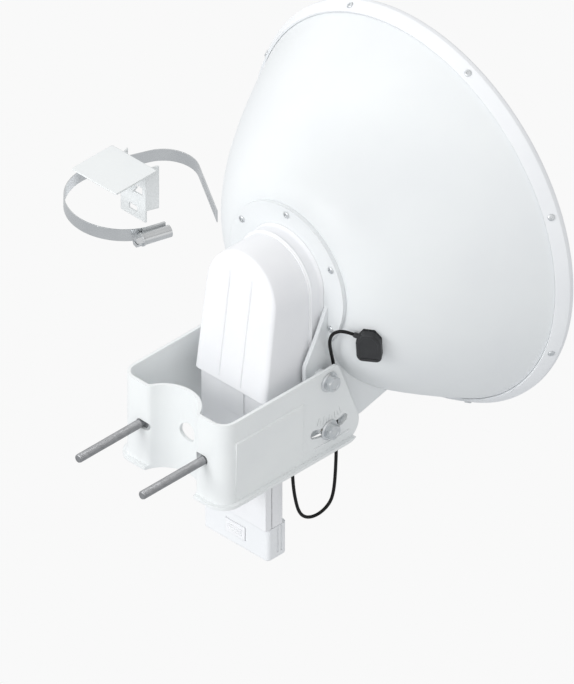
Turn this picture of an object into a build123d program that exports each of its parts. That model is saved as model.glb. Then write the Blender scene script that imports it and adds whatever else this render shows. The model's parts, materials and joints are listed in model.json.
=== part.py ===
from build123d import *
import math
import os

# Outdoor wireless bridge: a deep dish with its radio behind it, in a U bracket for a round mast, and the strap
# mount that can hold its position receiver on the same mast. Millimetres. The origin is on the mast's axis at the
# bracket's mid height, +Y is the way the dish points, +X is to the right seen from behind, +Z is up.

# Mast bracket, one folded sheet
mast_d = 60.3
mast_fit = 0.05
cradle_r = mast_d / 2 + mast_fit
sheet = 3.0
bracket_half_h = 43.0
arm_outer_x = 62.5
arm_inner_x = arm_outer_x - sheet
lobe_front_y = 10.5
lobe_lip_r = 6.0
arm_corner_r = 14.5
arm_top_y = 149.0
arm_bottom_y = 181.8
arm_rear_r = 17.0
arm_top_r = 5.0
lip_out = 4.0
step_z = 21.0
step_proud = 1.6
step_end_y = 107.0
web_hole_r = 9.0

# Clamp bolts, bare threaded rods that take the far half of the clamp
bolt_d = 8.0
bolt_fit = 0.3
clamp_bolt_x = 38.5
clamp_bolt_tip_y = -65.0
clamp_bolt_tip_cut = 0.8
clamp_neck_less = 0.5
clamp_neck_run = 1.0
clamp_head_r = 6.5
clamp_head_t = 4.8
slot_run = 6.5

# Elevation joint: a pivot bolt and a slot bolt on each side
pivot_y = 138.0
pivot_z = 30.0
slot_r = 50.0
tilt_deg = 20.0
slot_spare_deg = 1.0
mark_step_deg = 5
mark_long = 8.0
mark_short = 5.0
mark_w = 0.7
mark_deep = 0.4
bead_r = 1.2
bead_back = 17.0
bead_ahead = 24.0
boss_r = 7.0
side_gap = 0.3
insert_r = 5.4
insert_fit = 0.05
insert_spare = 0.3
thread_fit = 0.1
shank = 14.0
bolt_flange_r = 9.5
bolt_flange_t = 1.8
bolt_head_r = 7.4
bolt_head_t = 5.6
head_gap = 0.1

# Dish: bowl, rim and cover
dish_z = 106.0
hub_y = 153.0
hub_r = 69.0
bowl_r = 181.0
bowl_depth = 140.0
bowl_power = 1.64
dish_t = 2.0
rim_run = 11.0
rim_rise = 6.0
rim_fit = 0.3
cover_t = 2.4
cover_dome = 12.0
gasket_t = 2.0
gasket_w = 3.0
rim_screws_n = 8
hub_hole_r = 30.0
casting_t = 4.0
hub_screw_pcd_r = 62.0
hub_screws_n = 6
rim_screw_start_deg = 22.5
small_screw_r = 1.7
small_screw_hole_r = 1.8
small_screw_head_r = 3.4
small_screw_head_t = 1.4
small_screw_run = 3.5
rim_screw_r = 1.5
rim_screw_hole_r = 1.6
rim_screw_head_r = 3.2
rim_screw_head_t = 1.0
cheek_in_x = 46.0
cheek_out_x = 50.0

# Arch housing and hood behind the dish
arch_front_y = 134.0
arch_r = 43.0
arch_z = 110.0
arch_bottom_z = 24.0
arch_t = 2.5
arch_flare = 4.5
arch_flare_deg = 26.0
arch_bead_proud = 0.9
arch_bead_y = 1.0
arch_bead_w = 2.4
hood_r = 41.4
hood_foot_x = 42.6
hood_t = 2.1
hood_front_y = 81.0
hood_slope = 0.14
hood_slope_z = 36.0
rib_x = 13.0
rib_proud = 0.8
rib_half = 0.7
rib_foot_gap = 4.0
rib_top_run = 22.0

# Radio body and port cover
radio_x = 39.0
radio_front_y = 85.0
radio_split_y = 92.0
radio_rear_y = 105.0
radio_top_z = 78.0
radio_bottom_z = -113.0
wall = 2.0
seal_t = 0.8
cover_front_y = 87.5
cover_rear_y = 110.5
cover_len = 34.0
cover_bottom_z = radio_bottom_z - cover_len
cover_corner_r = 4.0
cover_foot_r = 3.0
groove_deep = 0.7
groove_half = 0.8
groove_spots = (6.5, 11.0)
notch_x = 22.0
notch_deep = 9.0
seam = 0.4
port_block_x = 33.0
port_block_len = 13.0
port_block_z = radio_bottom_z - port_block_len
port_block_set_back = 8.0
radio_corner_r = 14.0
panel_x = 13.0
panel_z = -6.0
panel_proud = 1.2
panel_r = 2.0
jack_spots_x = (-18.0, 6.0)
jack_half_x = 8.0
jack_fit = 0.1
socket_half_x = 5.9
button_x = 24.0
button_r = 2.0
button_fit = 0.25
button_proud = 0.8
button_run = 4.5
latch_x = 12.0
latch_low_z = cover_bottom_z + 10.0
latch_high_z = latch_low_z + 14.0
latch_gap = 0.3
latch_grips = (4.5, 7.0, 9.5)
seal_below = 5.0
seal_band_t = 1.8
seal_band_h = 3.0

# Radio's inside
board_t = 1.6
board_gap = 3.0
board_margin = 1.0
board_low = 6.0
board_high = 16.0
shield_x = 26.0
shield_low_z = -60.0
shield_high_z = 40.0
shield_h = 3.2
shield_t = 0.6
spreader_x = 28.0
spreader_low_z = -66.0
spreader_high_z = 46.0
spreader_t = 1.8
pad_x = 12.0
pad_low_z = -30.0
pad_high_z = 10.0

# Feed
feed_tube_r = 14.0
feed_tube_end_y = 222.0
feed_base_x = 28.0
feed_base_front_y = 98.0
feed_base_rear_y = 128.0
feed_base_top_z = 128.0
feed_base_r = 10.0
feed_flange_out = 6.0
feed_flange_t = 3.0
cone_run = 14.0
cone_set_in = 6.0
plug_run = 12.0
sub_r = 34.0
sub_step = 8.0
sub_t = 3.0

# Position receiver, its cable and jack
puck_x = 85.5
puck_z = 69.0
puck_t = 7.5
puck_base_t = 1.5
puck_wall = 1.4
puck_corner_r = 1.5
puck_half_x = 11.0
puck_half_y = 17.0
puck_low_cut_x = 8.0
puck_low_cut_y = 13.0
puck_top_cut_x = 5.0
puck_top_cut_y = 8.0
patch_side = 15.0
patch_t = 3.6
sleeve_r = 2.5
sleeve_run = 5.0
cable_r = 1.5
jack_y = 98.5
jack_z = -30.0
jack_r = 3.2
jack_out = 3.0
jack_nut_r = 4.4
jack_nut_t = 1.2
plug_x = 45.5
plug_r = 4.2
plug_tail_r = 2.6
plug_tail_run = 9.0

# Strap mount on the same mast
tray_x = 54.0
tray_y = 49.0
tray_top_z = 320.0
strap_sheet = 1.5
leg_front_y = -36.5
leg_x = 15.0
leg_bottom_z = 260.0
flange_touch_deg = 36.0
leg_slots_below = (14.0, 30.0)
leg_slot_x = (1.0, 11.0)
leg_slot_half = 4.0
leg_foot_slot_x = 5.0
leg_foot_slot_z = (6.0, 12.0)
tray_corner_r = 1.5
band_z = 283.5
band_h = 12.0
band_t = 0.8
band_play = 0.8
loop_r = 51.5
loop_y = -49.0
loop_x = 2.0
housing_angle_deg = -17.0
tail_angle_deg = 58.0
tail_len = 69.0
thread_slots_n = 13
thread_slot_start = 14.0
thread_slot_step = 3.8
thread_slot_w = 1.5
thread_slot_lean_deg = 8.0
screw_r = 4.0
screw_fit = 0.25
screw_play = 0.4
screw_head_r = 5.4
screw_head_t = 6.0
screw_slot = 1.2
collar_r = 6.2
collar_t = 1.6
housing_wall = 1.2
housing_len = 26.0
housing_foot_len = 22.0
housing_lift = 0.6


def block(x0, x1, y0, y1, z0, z1):
    # A box between two values on each axis.
    solid = Box(x1 - x0, y1 - y0, z1 - z0)
    return Pos((x0 + x1) / 2, (y0 + y1) / 2, (z0 + z1) / 2) * solid


def rod(radius, start, end):
    # A cylinder from one point to another.
    a, b = Vector(start), Vector(end)
    place = Plane(origin=a, z_dir=b - a)
    return place * Cylinder(radius, (b - a).length, align=(Align.CENTER, Align.CENTER, Align.MIN))


def prism_x(points, x0, x1, rounds=()):
    # A (y, z) outline pushed along X; rounds lists (corner number, radius).
    face = make_face(Polyline(*points, close=True))
    for number, radius in rounds:
        y, z = points[number]
        corner = face.vertices().sort_by_distance((y, z, 0))[0]
        face = fillet(corner, radius)
    return extrude(Plane.YZ.offset(x0) * face, amount=x1 - x0)


def prism_y(face, y0, y1, taper=0):
    # A face drawn in (x, z) pushed along +Y.
    place = Plane(origin=(0, y0, 0), x_dir=(-1, 0, 0), z_dir=(0, 1, 0))
    return extrude(place * face, amount=y1 - y0, taper=taper)


def prism_z(face, z0, z1):
    return extrude(Plane.XY.offset(z0) * face, amount=z1 - z0)


def dish_ring(points):
    # An (r, y) outline turned round the dish axis.
    return dish_turn(make_face(Polyline(*points, close=True)))


def dish_turn(face):
    place = Plane(origin=(0, 0, dish_z), x_dir=(0, 0, 1), z_dir=(-1, 0, 0))
    return revolve(place * face, axis=Axis((0, 0, dish_z), (0, 1, 0)))


def both_sides(solid):
    return solid + mirror(solid, about=Plane.YZ)


def hex_prism(radius, start, end):
    a, b = Vector(start), Vector(end)
    place = Plane(origin=a, z_dir=b - a)
    return extrude(place * RegularPolygon(radius, 6), amount=(b - a).length)


# Mast bracket

def bracket_plan(inset):
    # From behind one arm round both lobes and the mast cradle to the other arm, as if folded from one sheet.
    lip_y = lobe_front_y + lobe_lip_r
    lip_x = math.sqrt((cradle_r + lobe_lip_r) ** 2 - lip_y**2)
    arm_x = arm_outer_x - inset
    corner_x = arm_outer_x - arm_corner_r
    corner_y = lobe_front_y + arm_corner_r
    front_y = lobe_front_y + inset
    outer_r = arm_corner_r - inset
    lip_r = lobe_lip_r - inset
    back_r = cradle_r + inset
    wrap = math.atan2(lip_x, lip_y)
    far_y = arm_bottom_y + 20
    diagonal = math.sqrt(0.5)
    edges = []
    for side in (1, -1):
        corner_mid = (side * (corner_x + outer_r * diagonal), corner_y - outer_r * diagonal)
        lip_mid = (side * (lip_x - lip_r * math.sin(wrap / 2)), lip_y - lip_r * math.cos(wrap / 2))
        end = (side * back_r * math.sin(wrap), back_r * math.cos(wrap))
        edges.append(Line((side * arm_x, far_y), (side * arm_x, corner_y)))
        edges.append(ThreePointArc((side * arm_x, corner_y), corner_mid, (side * corner_x, front_y)))
        edges.append(Line((side * corner_x, front_y), (side * lip_x, front_y)))
        edges.append(ThreePointArc((side * lip_x, front_y), lip_mid, end))
    end_x, end_y = back_r * math.sin(wrap), back_r * math.cos(wrap)
    edges.append(ThreePointArc((end_x, end_y), (0, back_r), (-end_x, end_y)))
    edges.append(Line((arm_x, far_y), (-arm_x, far_y)))
    return make_face(edges)


def tilt_point(radius, degrees):
    # A point beside the pivot; 0 degrees is straight down, more swings it towards the dish.
    turn = math.radians(degrees)
    return pivot_y + radius * math.sin(turn), pivot_z - radius * math.cos(turn)


def arm_cuts(x0, x1):
    # Pivot hole, arc slot and the engraved tilt scale of one arm.
    hole_r = bolt_d / 2 + bolt_fit
    span = tilt_deg + slot_spare_deg
    arc = CenterArc((pivot_y, pivot_z), slot_r, -90 - span, 2 * span)
    cuts = extrude(Plane.YZ.offset(x0) * SlotArc(arc, 2 * hole_r), amount=x1 - x0)
    return cuts + rod(hole_r, (x0, pivot_y, pivot_z), (x1, pivot_y, pivot_z))


def scale_marks(x0, x1):
    marks = []
    steps = int(tilt_deg / mark_step_deg)
    for number in range(-steps, steps + 1):
        degrees = number * mark_step_deg
        length = mark_long if number % 2 == 0 else mark_short
        y, z = tilt_point(slot_r - bolt_d - length / 2, degrees)
        place = Plane(origin=((x0 + x1) / 2, y, z), x_dir=(1, 0, 0), z_dir=(0, 1, 0)).rotated((degrees, 0, 0))
        marks.append(place * Box(x1 - x0, length, mark_w))
    return marks


def mast_bracket():
    blank = prism_z(bracket_plan(0), -bracket_half_h, bracket_half_h)
    blank -= prism_z(bracket_plan(sheet), -bracket_half_h, bracket_half_h)
    lip = prism_z(bracket_plan(-lip_out), -bracket_half_h, sheet - bracket_half_h)
    lip -= prism_z(bracket_plan(sheet), -bracket_half_h, sheet - bracket_half_h)
    lip -= rod(cradle_r, (0, 0, -bracket_half_h), (0, 0, sheet - bracket_half_h))
    side = prism_x(
        [(-1, -bracket_half_h), (arm_bottom_y, -bracket_half_h), (arm_top_y, bracket_half_h), (-1, bracket_half_h)],
        -arm_outer_x - lip_out,
        arm_outer_x + lip_out,
        rounds=((1, arm_rear_r), (2, arm_top_r)),
    )
    bracket = (blank + lip) & side
    # Each arm's lower part steps out a little below a pressed line.
    wedge_face = make_face(
        Polyline(
            (arm_outer_x - 0.5, step_z + step_proud),
            (arm_outer_x + step_proud, step_z),
            (arm_outer_x, sheet - bracket_half_h),
            (arm_outer_x - 0.5, sheet - bracket_half_h),
            close=True,
        )
    )
    wedge = mirror(prism_y(wedge_face, lobe_front_y + arm_corner_r, step_end_y), about=Plane.YZ)
    wedge = chamfer(wedge.edges().group_by(Axis.Y)[-1].sort_by(Axis.X)[-1], step_proud * 0.6)
    bracket += both_sides(wedge)
    bracket -= rod(web_hole_r, (0, 0, 0), (0, cradle_r + 2 * sheet, 0))
    reach = arm_outer_x + lip_out
    bracket -= both_sides(arm_cuts(arm_inner_x - 1, reach))
    for x0, x1 in ((arm_outer_x - mark_deep, reach), (-reach, mark_deep - arm_outer_x)):
        for mark in scale_marks(x0, x1):
            bracket -= mark
    # A pressed bead under the arc slot, clear of the low bolt's flange.
    bead_z = pivot_z - slot_r - bolt_flange_r - 3
    bead = rod(bead_r, (arm_outer_x, pivot_y - bead_back, bead_z), (arm_outer_x, pivot_y + bead_ahead, bead_z))
    bracket += both_sides(bead - block(0, arm_inner_x + 0.5, 0, 400, -200, 200))
    # Slots that let the clamp bolts move in and out.
    slot_h = bolt_d + 2 * bolt_fit
    for side_x in (1, -1):
        inner = clamp_bolt_x - slot_run
        slot = block(inner, clamp_bolt_x, 0, 40, -slot_h / 2, slot_h / 2)
        for end_x in (inner, clamp_bolt_x):
            slot += rod(slot_h / 2, (end_x, 0, 0), (end_x, 40, 0))
        slot = slot if side_x > 0 else mirror(slot, about=Plane.YZ)
        bracket -= slot
    return bracket


def clamp_bolts():
    seat = lobe_front_y + sheet
    neck_y = lobe_front_y - clamp_neck_run
    bolt = rod(bolt_d / 2, (clamp_bolt_x, clamp_bolt_tip_y, 0), (clamp_bolt_x, neck_y, 0))
    bolt = chamfer(bolt.edges().sort_by(Axis.Y)[0], clamp_bolt_tip_cut)
    # The rolled thread stops short of the bracket's slot, on a thinner plain neck.
    bolt += rod(bolt_d / 2 - clamp_neck_less, (clamp_bolt_x, neck_y, 0), (clamp_bolt_x, seat, 0))
    bolt += rod(clamp_head_r, (clamp_bolt_x, seat, 0), (clamp_bolt_x, seat + clamp_head_t, 0))
    return both_sides(bolt)


# Dish

def bowl_point(share, depth=0.0):
    # (r, y) on the bowl's back at a share of the way out; depth goes through the sheet to the front.
    rise = bowl_depth * bowl_power * share ** (bowl_power - 1)
    run = bowl_r - hub_r
    size = math.hypot(rise, run)
    r = hub_r + run * share - depth * rise / size
    y = hub_y + bowl_depth * share**bowl_power + depth * run / size
    return r, y


def bowl_curve(depth):
    points = [bowl_point(step / 8, depth) for step in range(9)]
    return Spline(*points)


def bowl_solid():
    # Everything in front of the bowl's back surface, to cut what ends on it.
    front_y = hub_y + bowl_depth
    r, y = bowl_point(1)
    closing = Polyline((r, y), (r, front_y + 5), (0, front_y + 5), (0, hub_y), bowl_point(0))
    return dish_turn(make_face([bowl_curve(0), *closing.edges()]))


def rim_offset(distance):
    # A point's step square to the rim's cone.
    size = math.hypot(rim_run, rim_rise)
    return distance * rim_run / size, -distance * rim_rise / size


def reflector():
    inner = bowl_curve(dish_t)
    outer = bowl_curve(0)
    r, y = bowl_point(1)
    inner_r, inner_y = bowl_point(1, dish_t)
    start = bowl_point(0)
    start_in = bowl_point(0, dish_t)
    rim = Polyline((r, y), (r + rim_rise, y + rim_run), (r + rim_rise - dish_t, y + rim_run), (inner_r, inner_y))
    hub = Polyline(start_in, (hub_hole_r, hub_y + dish_t), (hub_hole_r, hub_y), start)
    bowl = dish_turn(make_face([outer, *rim.edges(), inner, *hub.edges()]))
    for number in range(hub_screws_n):
        x, z = ring_spot(hub_screw_pcd_r, number, hub_screws_n, 0)
        bowl -= rod(small_screw_hole_r, (x, hub_y - 1, z), (x, hub_y + 4, z))
    for hole in rim_rods(rim_screw_hole_r, -dish_t - 1.5, 0):
        bowl -= hole
    return bowl


def ring_spot(radius, number, count, start_deg):
    turn = math.radians(start_deg + 360 * number / count)
    return radius * math.sin(turn), dish_z + radius * math.cos(turn)


def cover_edge(distance):
    # The skirt's face at a distance from the rim's cone: up the cone, then straight forward past the gasket.
    r, y = bowl_point(1)
    step_r, step_y = rim_offset(distance)
    return [
        (r + step_r, y + step_y),
        (r + step_r + rim_rise, y + step_y + rim_run),
        (r + step_r + rim_rise, y + rim_run + gasket_t),
    ]


def dome_arc(radius, edge_y):
    # A shallow arc from the edge to the axis, part of a circle centred on the axis.
    ball = (radius**2 + cover_dome**2) / (2 * cover_dome)
    mid_y = edge_y + math.sqrt(ball**2 - radius**2 / 4) - (ball - cover_dome)
    return ThreePointArc((radius, edge_y), (radius / 2, mid_y), (0, edge_y + cover_dome))


def radome():
    inner_edge, outer_edge = cover_edge(rim_fit), cover_edge(rim_fit + cover_t)
    high_in, high_out = inner_edge[-1], outer_edge[-1]
    front_y = high_in[1]
    outer_y = front_y + cover_t
    shoulder = high_out[0] - 2
    dome_in = dome_arc(high_in[0], front_y)
    dome_out = dome_arc(shoulder, outer_y)
    axis_line = Line((0, front_y + cover_dome), (0, outer_y + cover_dome))
    bend = ThreePointArc(high_out, (high_out[0] - 0.6, outer_y - 0.6), (shoulder, outer_y))
    skirt = Polyline(*reversed(outer_edge), *inner_edge)
    cover = dish_turn(make_face([dome_in, axis_line, dome_out, bend, *skirt.edges()]))
    for hole in rim_rods(rim_screw_hole_r, -1, 6):
        cover -= hole
    return cover


def rim_rods(radius, start, end):
    # Cylinders square to the skirt, start and end measured out from the skirt's inner face.
    r, y = bowl_point(1)
    mid_r, mid_y = r + rim_rise / 2, y + rim_run / 2
    rods = []
    for number in range(rim_screws_n):
        turn = math.radians(rim_screw_start_deg + 360 * number / rim_screws_n)
        ends = []
        for distance in (start + rim_fit, end + rim_fit):
            step_r, step_y = rim_offset(distance)
            radius_here = mid_r + step_r
            ends.append((radius_here * math.sin(turn), mid_y + step_y, dish_z + radius_here * math.cos(turn)))
        rods.append(rod(radius, *ends))
    return rods


def rim_screws():
    screws = []
    shafts = rim_rods(rim_screw_r, -dish_t - rim_fit, cover_t + 0.1)
    heads = rim_rods(rim_screw_head_r, cover_t, cover_t + rim_screw_head_t)
    for shaft, head in zip(shafts, heads):
        screws.append(shaft + head)
    return Compound(children=[Part(s.wrapped) for s in screws])


def radome_gasket():
    r, y = bowl_point(1)
    low_y = y + rim_run
    inner_r, outer_r = r + rim_rise - gasket_w, r + rim_rise
    return dish_ring([(inner_r, low_y), (outer_r, low_y), (outer_r, low_y + gasket_t), (inner_r, low_y + gasket_t)])


# Casting between dish and bracket

def arch_face(half, bottom_z, foot=None):
    # A round-topped outline in (x, z); foot widens its lower end.
    foot = half if foot is None else foot
    legs = Polyline((half, arch_z), (foot, bottom_z), (-foot, bottom_z), (-half, arch_z))
    return make_face([*legs.edges(), ThreePointArc((half, arch_z), (0, arch_z + half), (-half, arch_z))])


def dish_hub():
    low_z = pivot_z - slot_r - 10
    ring = prism_y(Pos(0, dish_z) * Circle(hub_r - 0.5), hub_y - casting_t, hub_y)
    ring += block(-cheek_out_x, cheek_out_x, hub_y - casting_t, hub_y, low_z, dish_z - 20)
    front_y = pivot_y - 16
    cheek = prism_x(
        [
            (front_y, pivot_z + 16),
            (front_y, low_z),
            (pivot_y + 50, low_z - 4),
            (pivot_y + 90, low_z + 6),
            (pivot_y + 90, dish_z - 10),
            (hub_y - casting_t, dish_z - 10),
            (arch_front_y, dish_z - 40),
        ],
        cheek_in_x,
        cheek_out_x,
        rounds=((1, 8.0), (0, 8.0)),
    )
    for z in (pivot_z, pivot_z - slot_r):
        cheek += rod(boss_r, (cheek_in_x, pivot_y, z), (arm_inner_x - side_gap, pivot_y, z))
    for z in (pivot_z, pivot_z - slot_r):
        cheek -= rod(insert_r + insert_fit, (cheek_in_x - 1, pivot_y, z), (arm_inner_x + 1, pivot_y, z))
    hub = ring + both_sides(cheek) - bowl_solid()
    hub -= rod(hub_hole_r, (0, hub_y - 20, dish_z), (0, hub_y + 20, dish_z))
    for number in range(hub_screws_n):
        x, z = ring_spot(hub_screw_pcd_r, number, hub_screws_n, 0)
        hub -= rod(small_screw_hole_r, (x, hub_y - 20, z), (x, hub_y + 4, z))
    return hub


def hub_screws():
    screws = []
    for number in range(hub_screws_n):
        x, z = ring_spot(hub_screw_pcd_r, number, hub_screws_n, 0)
        top = hub_y - casting_t
        shaft = rod(small_screw_r, (x, top, z), (x, hub_y + small_screw_run, z))
        screws.append(shaft + rod(small_screw_head_r, (x, top - small_screw_head_t, z), (x, top, z)))
    return Compound(children=[Part(s.wrapped) for s in screws])


def threaded_inserts():
    inserts = []
    for side in (1, -1):
        for z in (pivot_z, pivot_z - slot_r):
            start = (side * cheek_in_x, pivot_y, z)
            end = (side * (arm_inner_x - side_gap - insert_spare), pivot_y, z)
            inserts.append(rod(insert_r, start, end) - rod(bolt_d / 2 + thread_fit, start, end))
    return Compound(children=[Part(s.wrapped) for s in inserts])


def flange_bolt(side, z):
    face = arm_outer_x + head_gap
    crown = face + bolt_flange_t
    bolt = rod(bolt_d / 2, (side * (face - shank), pivot_y, z), (side * face, pivot_y, z))
    bolt += Plane(origin=(side * face, pivot_y, z), z_dir=(side, 0, 0)) * Cone(
        bolt_flange_r, bolt_flange_r - 0.8, bolt_flange_t, align=(Align.CENTER, Align.CENTER, Align.MIN)
    )
    bolt += hex_prism(bolt_head_r, (side * crown, pivot_y, z), (side * (crown + bolt_head_t), pivot_y, z))
    return bolt


# Arch housing and hood

def arch_housing():
    straight_y = hub_y - casting_t - arch_flare
    bead_y = arch_front_y + arch_bead_y
    housing = prism_y(arch_face(arch_r, arch_bottom_z), arch_front_y, straight_y)
    housing += prism_y(arch_face(arch_r, arch_bottom_z), straight_y, hub_y - casting_t, taper=-arch_flare_deg)
    housing += prism_y(arch_face(arch_r + arch_bead_proud, arch_bottom_z), bead_y, bead_y + arch_bead_w)
    housing &= block(-90, 90, 0, 400, arch_bottom_z, 400)
    housing -= prism_y(arch_face(arch_r - arch_t, arch_bottom_z - 40), arch_front_y - 1, hub_y)
    return housing


def slope_y(z):
    return hood_front_y + hood_slope * (z - hood_slope_z)


def behind_slope(inset):
    # All that lies behind the hood's slanting front, moved in by inset.
    low, high = -200, 300
    return prism_x(
        [(slope_y(low) + inset, low), (400, low), (400, high), (slope_y(high) + inset, high)], -150, 150
    )


def hood():
    outer = prism_y(arch_face(hood_r, arch_bottom_z, hood_foot_x), hood_front_y - 10, arch_front_y) & behind_slope(0)
    front_edges = outer.faces().sort_by(Axis.Y)[0].edges().filter_by(lambda e: e.center().Z > arch_bottom_z + 1)
    outer = chamfer(front_edges, 5.0, 3.0)
    cavity = prism_y(arch_face(hood_r - hood_t, arch_bottom_z - 20, hood_foot_x - hood_t), hood_front_y - 20, 400)
    inner = cavity & behind_slope(hood_t)
    inner -= prism_y(arch_face(hood_r + 20, arch_bottom_z - 30), 0, slope_y(arch_z) - 20)
    cap = outer - inner
    for side in (1, -1):
        low, high = arch_bottom_z + rib_foot_gap, arch_z + rib_top_run
        rib = prism_x(
            [
                (slope_y(low) - rib_proud, low),
                (slope_y(low) + 1, low),
                (slope_y(high) + 1, high),
                (slope_y(high) - rib_proud, high),
            ],
            side * rib_x - rib_half,
            side * rib_x + rib_half,
        )
        cap += rib
    return cap


# Radio

def radio_face(shrink, low_z, high_z):
    face = Pos(0, (low_z + high_z) / 2) * Rectangle(2 * (radio_x - shrink), high_z - low_z)
    return fillet(face.vertices().group_by(Axis.Y)[-1], radio_corner_r - shrink)


def radio_shell(y0, y1, open_front):
    # One half of the radio's case: a tray whose open side faces the other half.
    outer = prism_y(radio_face(0, radio_bottom_z, radio_top_z), y0, y1)
    inner_face = radio_face(wall, radio_bottom_z + wall, radio_top_z - wall)
    if open_front:
        return outer - prism_y(inner_face, y0 - 1, y1 - wall)
    slanted = outer & behind_slope(hood_t + side_gap)
    hollow = prism_y(inner_face, y0 + wall, y1 + 1) & behind_slope(hood_t + side_gap + wall)
    return slanted - hollow


def radio_front_shell():
    shell = radio_shell(radio_front_y, radio_split_y, False)
    pad = block(-panel_x, panel_x, radio_front_y - panel_proud, radio_front_y + 0.5, panel_z, arch_bottom_z - 2)
    pad = fillet(pad.edges().filter_by(Axis.Y), panel_r)
    return shell + pad


def radio_gasket():
    outer = radio_face(0.6, radio_bottom_z + 0.6, radio_top_z - 0.6)
    inner = radio_face(wall, radio_bottom_z + wall, radio_top_z - wall)
    ring = prism_y(outer, radio_split_y, radio_split_y + seal_t)
    return ring - prism_y(inner, radio_split_y - 1, radio_split_y + 2)


def jack_mid_y():
    return (radio_split_y + seal_t + radio_rear_y) / 2


def radio_rear_shell():
    shell = radio_shell(radio_split_y + seal_t, radio_rear_y, True)
    # The port block stands below the case, inside the sliding cover.
    low_y, high_y = radio_front_y + port_block_set_back, radio_rear_y
    port = block(-port_block_x, port_block_x, low_y, high_y, port_block_z, radio_bottom_z)
    for x in jack_spots_x:
        x0, x1 = x - jack_half_x, x + jack_half_x
        port -= block(x0, x1, low_y - 1, high_y - wall, port_block_z - 1, radio_bottom_z - 1)
    x, y = button_spot()
    port -= rod(button_r + button_fit, (x, y, port_block_z - 1), (x, y, port_block_z + 6))
    shell += port
    shell -= rod(jack_r + jack_fit, (radio_x - 5, jack_mid_y(), jack_z), (radio_x + 1, jack_mid_y(), jack_z))
    return shell


def button_spot():
    return button_x, (radio_front_y + port_block_set_back + radio_rear_y) / 2


def network_jacks():
    jacks = []
    low_y, high_y = radio_front_y + port_block_set_back, radio_rear_y - wall
    top = radio_bottom_z - 1.0 - jack_fit
    for x in jack_spots_x:
        x0, x1 = x - jack_half_x + jack_fit, x + jack_half_x - jack_fit
        shell = block(x0, x1, low_y, high_y - jack_fit, port_block_z, top)
        x0, x1 = x - socket_half_x, x + socket_half_x
        shell -= block(x0, x1, low_y + 1.2, high_y - 1.3, port_block_z - 1, top - 1.3)
        jacks.append(shell)
    return Compound(children=[Part(s.wrapped) for s in jacks])


def reset_button():
    x, y = button_spot()
    return rod(button_r, (x, y, port_block_z - button_proud), (x, y, port_block_z + button_run))


def radio_board():
    y0 = radio_split_y + seal_t + board_gap
    half = radio_x - wall - board_margin
    return block(-half, half, y0, y0 + board_t, radio_bottom_z + board_low, radio_top_z - board_high)


def rf_shield():
    y0 = radio_split_y + seal_t + board_gap - shield_h
    can = block(-shield_x, shield_x, y0, y0 + shield_h, shield_low_z, shield_high_z)
    half, low, high = shield_x - shield_t, shield_low_z + shield_t, shield_high_z - shield_t
    return can - block(-half, half, y0 + shield_t, y0 + shield_h + 1, low, high)


def heat_spreader():
    y0 = radio_split_y + seal_t + board_gap + board_t
    y1 = radio_rear_y - wall
    plate = block(-spreader_x, spreader_x, y1 - spreader_t, y1, spreader_low_z, spreader_high_z)
    return plate + block(-pad_x, pad_x, y0, y1 - 1, pad_low_z, pad_high_z)


# Feed, from the radio's top through the hub to the small reflector

def feed_base():
    base = block(-feed_base_x, feed_base_x, feed_base_front_y, feed_base_rear_y, radio_top_z, feed_base_top_z)
    base = fillet(base.edges().filter_by(Axis.Y).group_by(Axis.Z)[-1], feed_base_r)
    hollow = block(
        wall - feed_base_x,
        feed_base_x - wall,
        feed_base_front_y + wall,
        feed_base_rear_y - wall,
        radio_top_z + wall,
        feed_base_top_z - wall,
    )
    hollow = fillet(hollow.edges().filter_by(Axis.Y).group_by(Axis.Z)[-1], feed_base_r - wall)
    base -= hollow
    base -= rod(feed_tube_r - wall, (0, feed_base_rear_y - 4, dish_z), (0, feed_base_rear_y + 1, dish_z))
    return base


def feed_tube():
    tube = rod(feed_tube_r, (0, feed_base_rear_y, dish_z), (0, feed_tube_end_y, dish_z))
    flange_r = feed_tube_r + feed_flange_out
    tube += rod(flange_r, (0, feed_base_rear_y, dish_z), (0, feed_base_rear_y + feed_flange_t, dish_z))
    tube += rod(hub_hole_r - side_gap, (0, hub_y - casting_t, dish_z), (0, hub_y + dish_t, dish_z))
    return tube - rod(feed_tube_r - wall, (0, feed_base_rear_y - 1, dish_z), (0, feed_tube_end_y + 1, dish_z))


def feed_cone():
    cone = Plane(origin=(0, feed_tube_end_y, dish_z), z_dir=(0, 1, 0)) * Cone(
        feed_tube_r, sub_r - cone_set_in, cone_run, align=(Align.CENTER, Align.CENTER, Align.MIN)
    )
    plug = rod(feed_tube_r - wall - 0.1, (0, feed_tube_end_y - plug_run, dish_z), (0, feed_tube_end_y, dish_z))
    return cone + plug


def subreflector():
    y0 = feed_tube_end_y + cone_run
    y1 = y0 + sub_t
    return rod(sub_r, (0, y0, dish_z), (0, y1, dish_z)) + rod(sub_r - sub_step, (0, y1, dish_z), (0, y1 + sub_t, dish_z))


# Port cover on the radio's foot

def cover_face(shrink):
    x0 = radio_x - shrink
    y0, y1 = cover_front_y + shrink, cover_rear_y - shrink
    face = Pos(0, (y0 + y1) / 2) * Rectangle(2 * x0, y1 - y0)
    return fillet(face.vertices(), cover_corner_r - shrink / 2)


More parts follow.
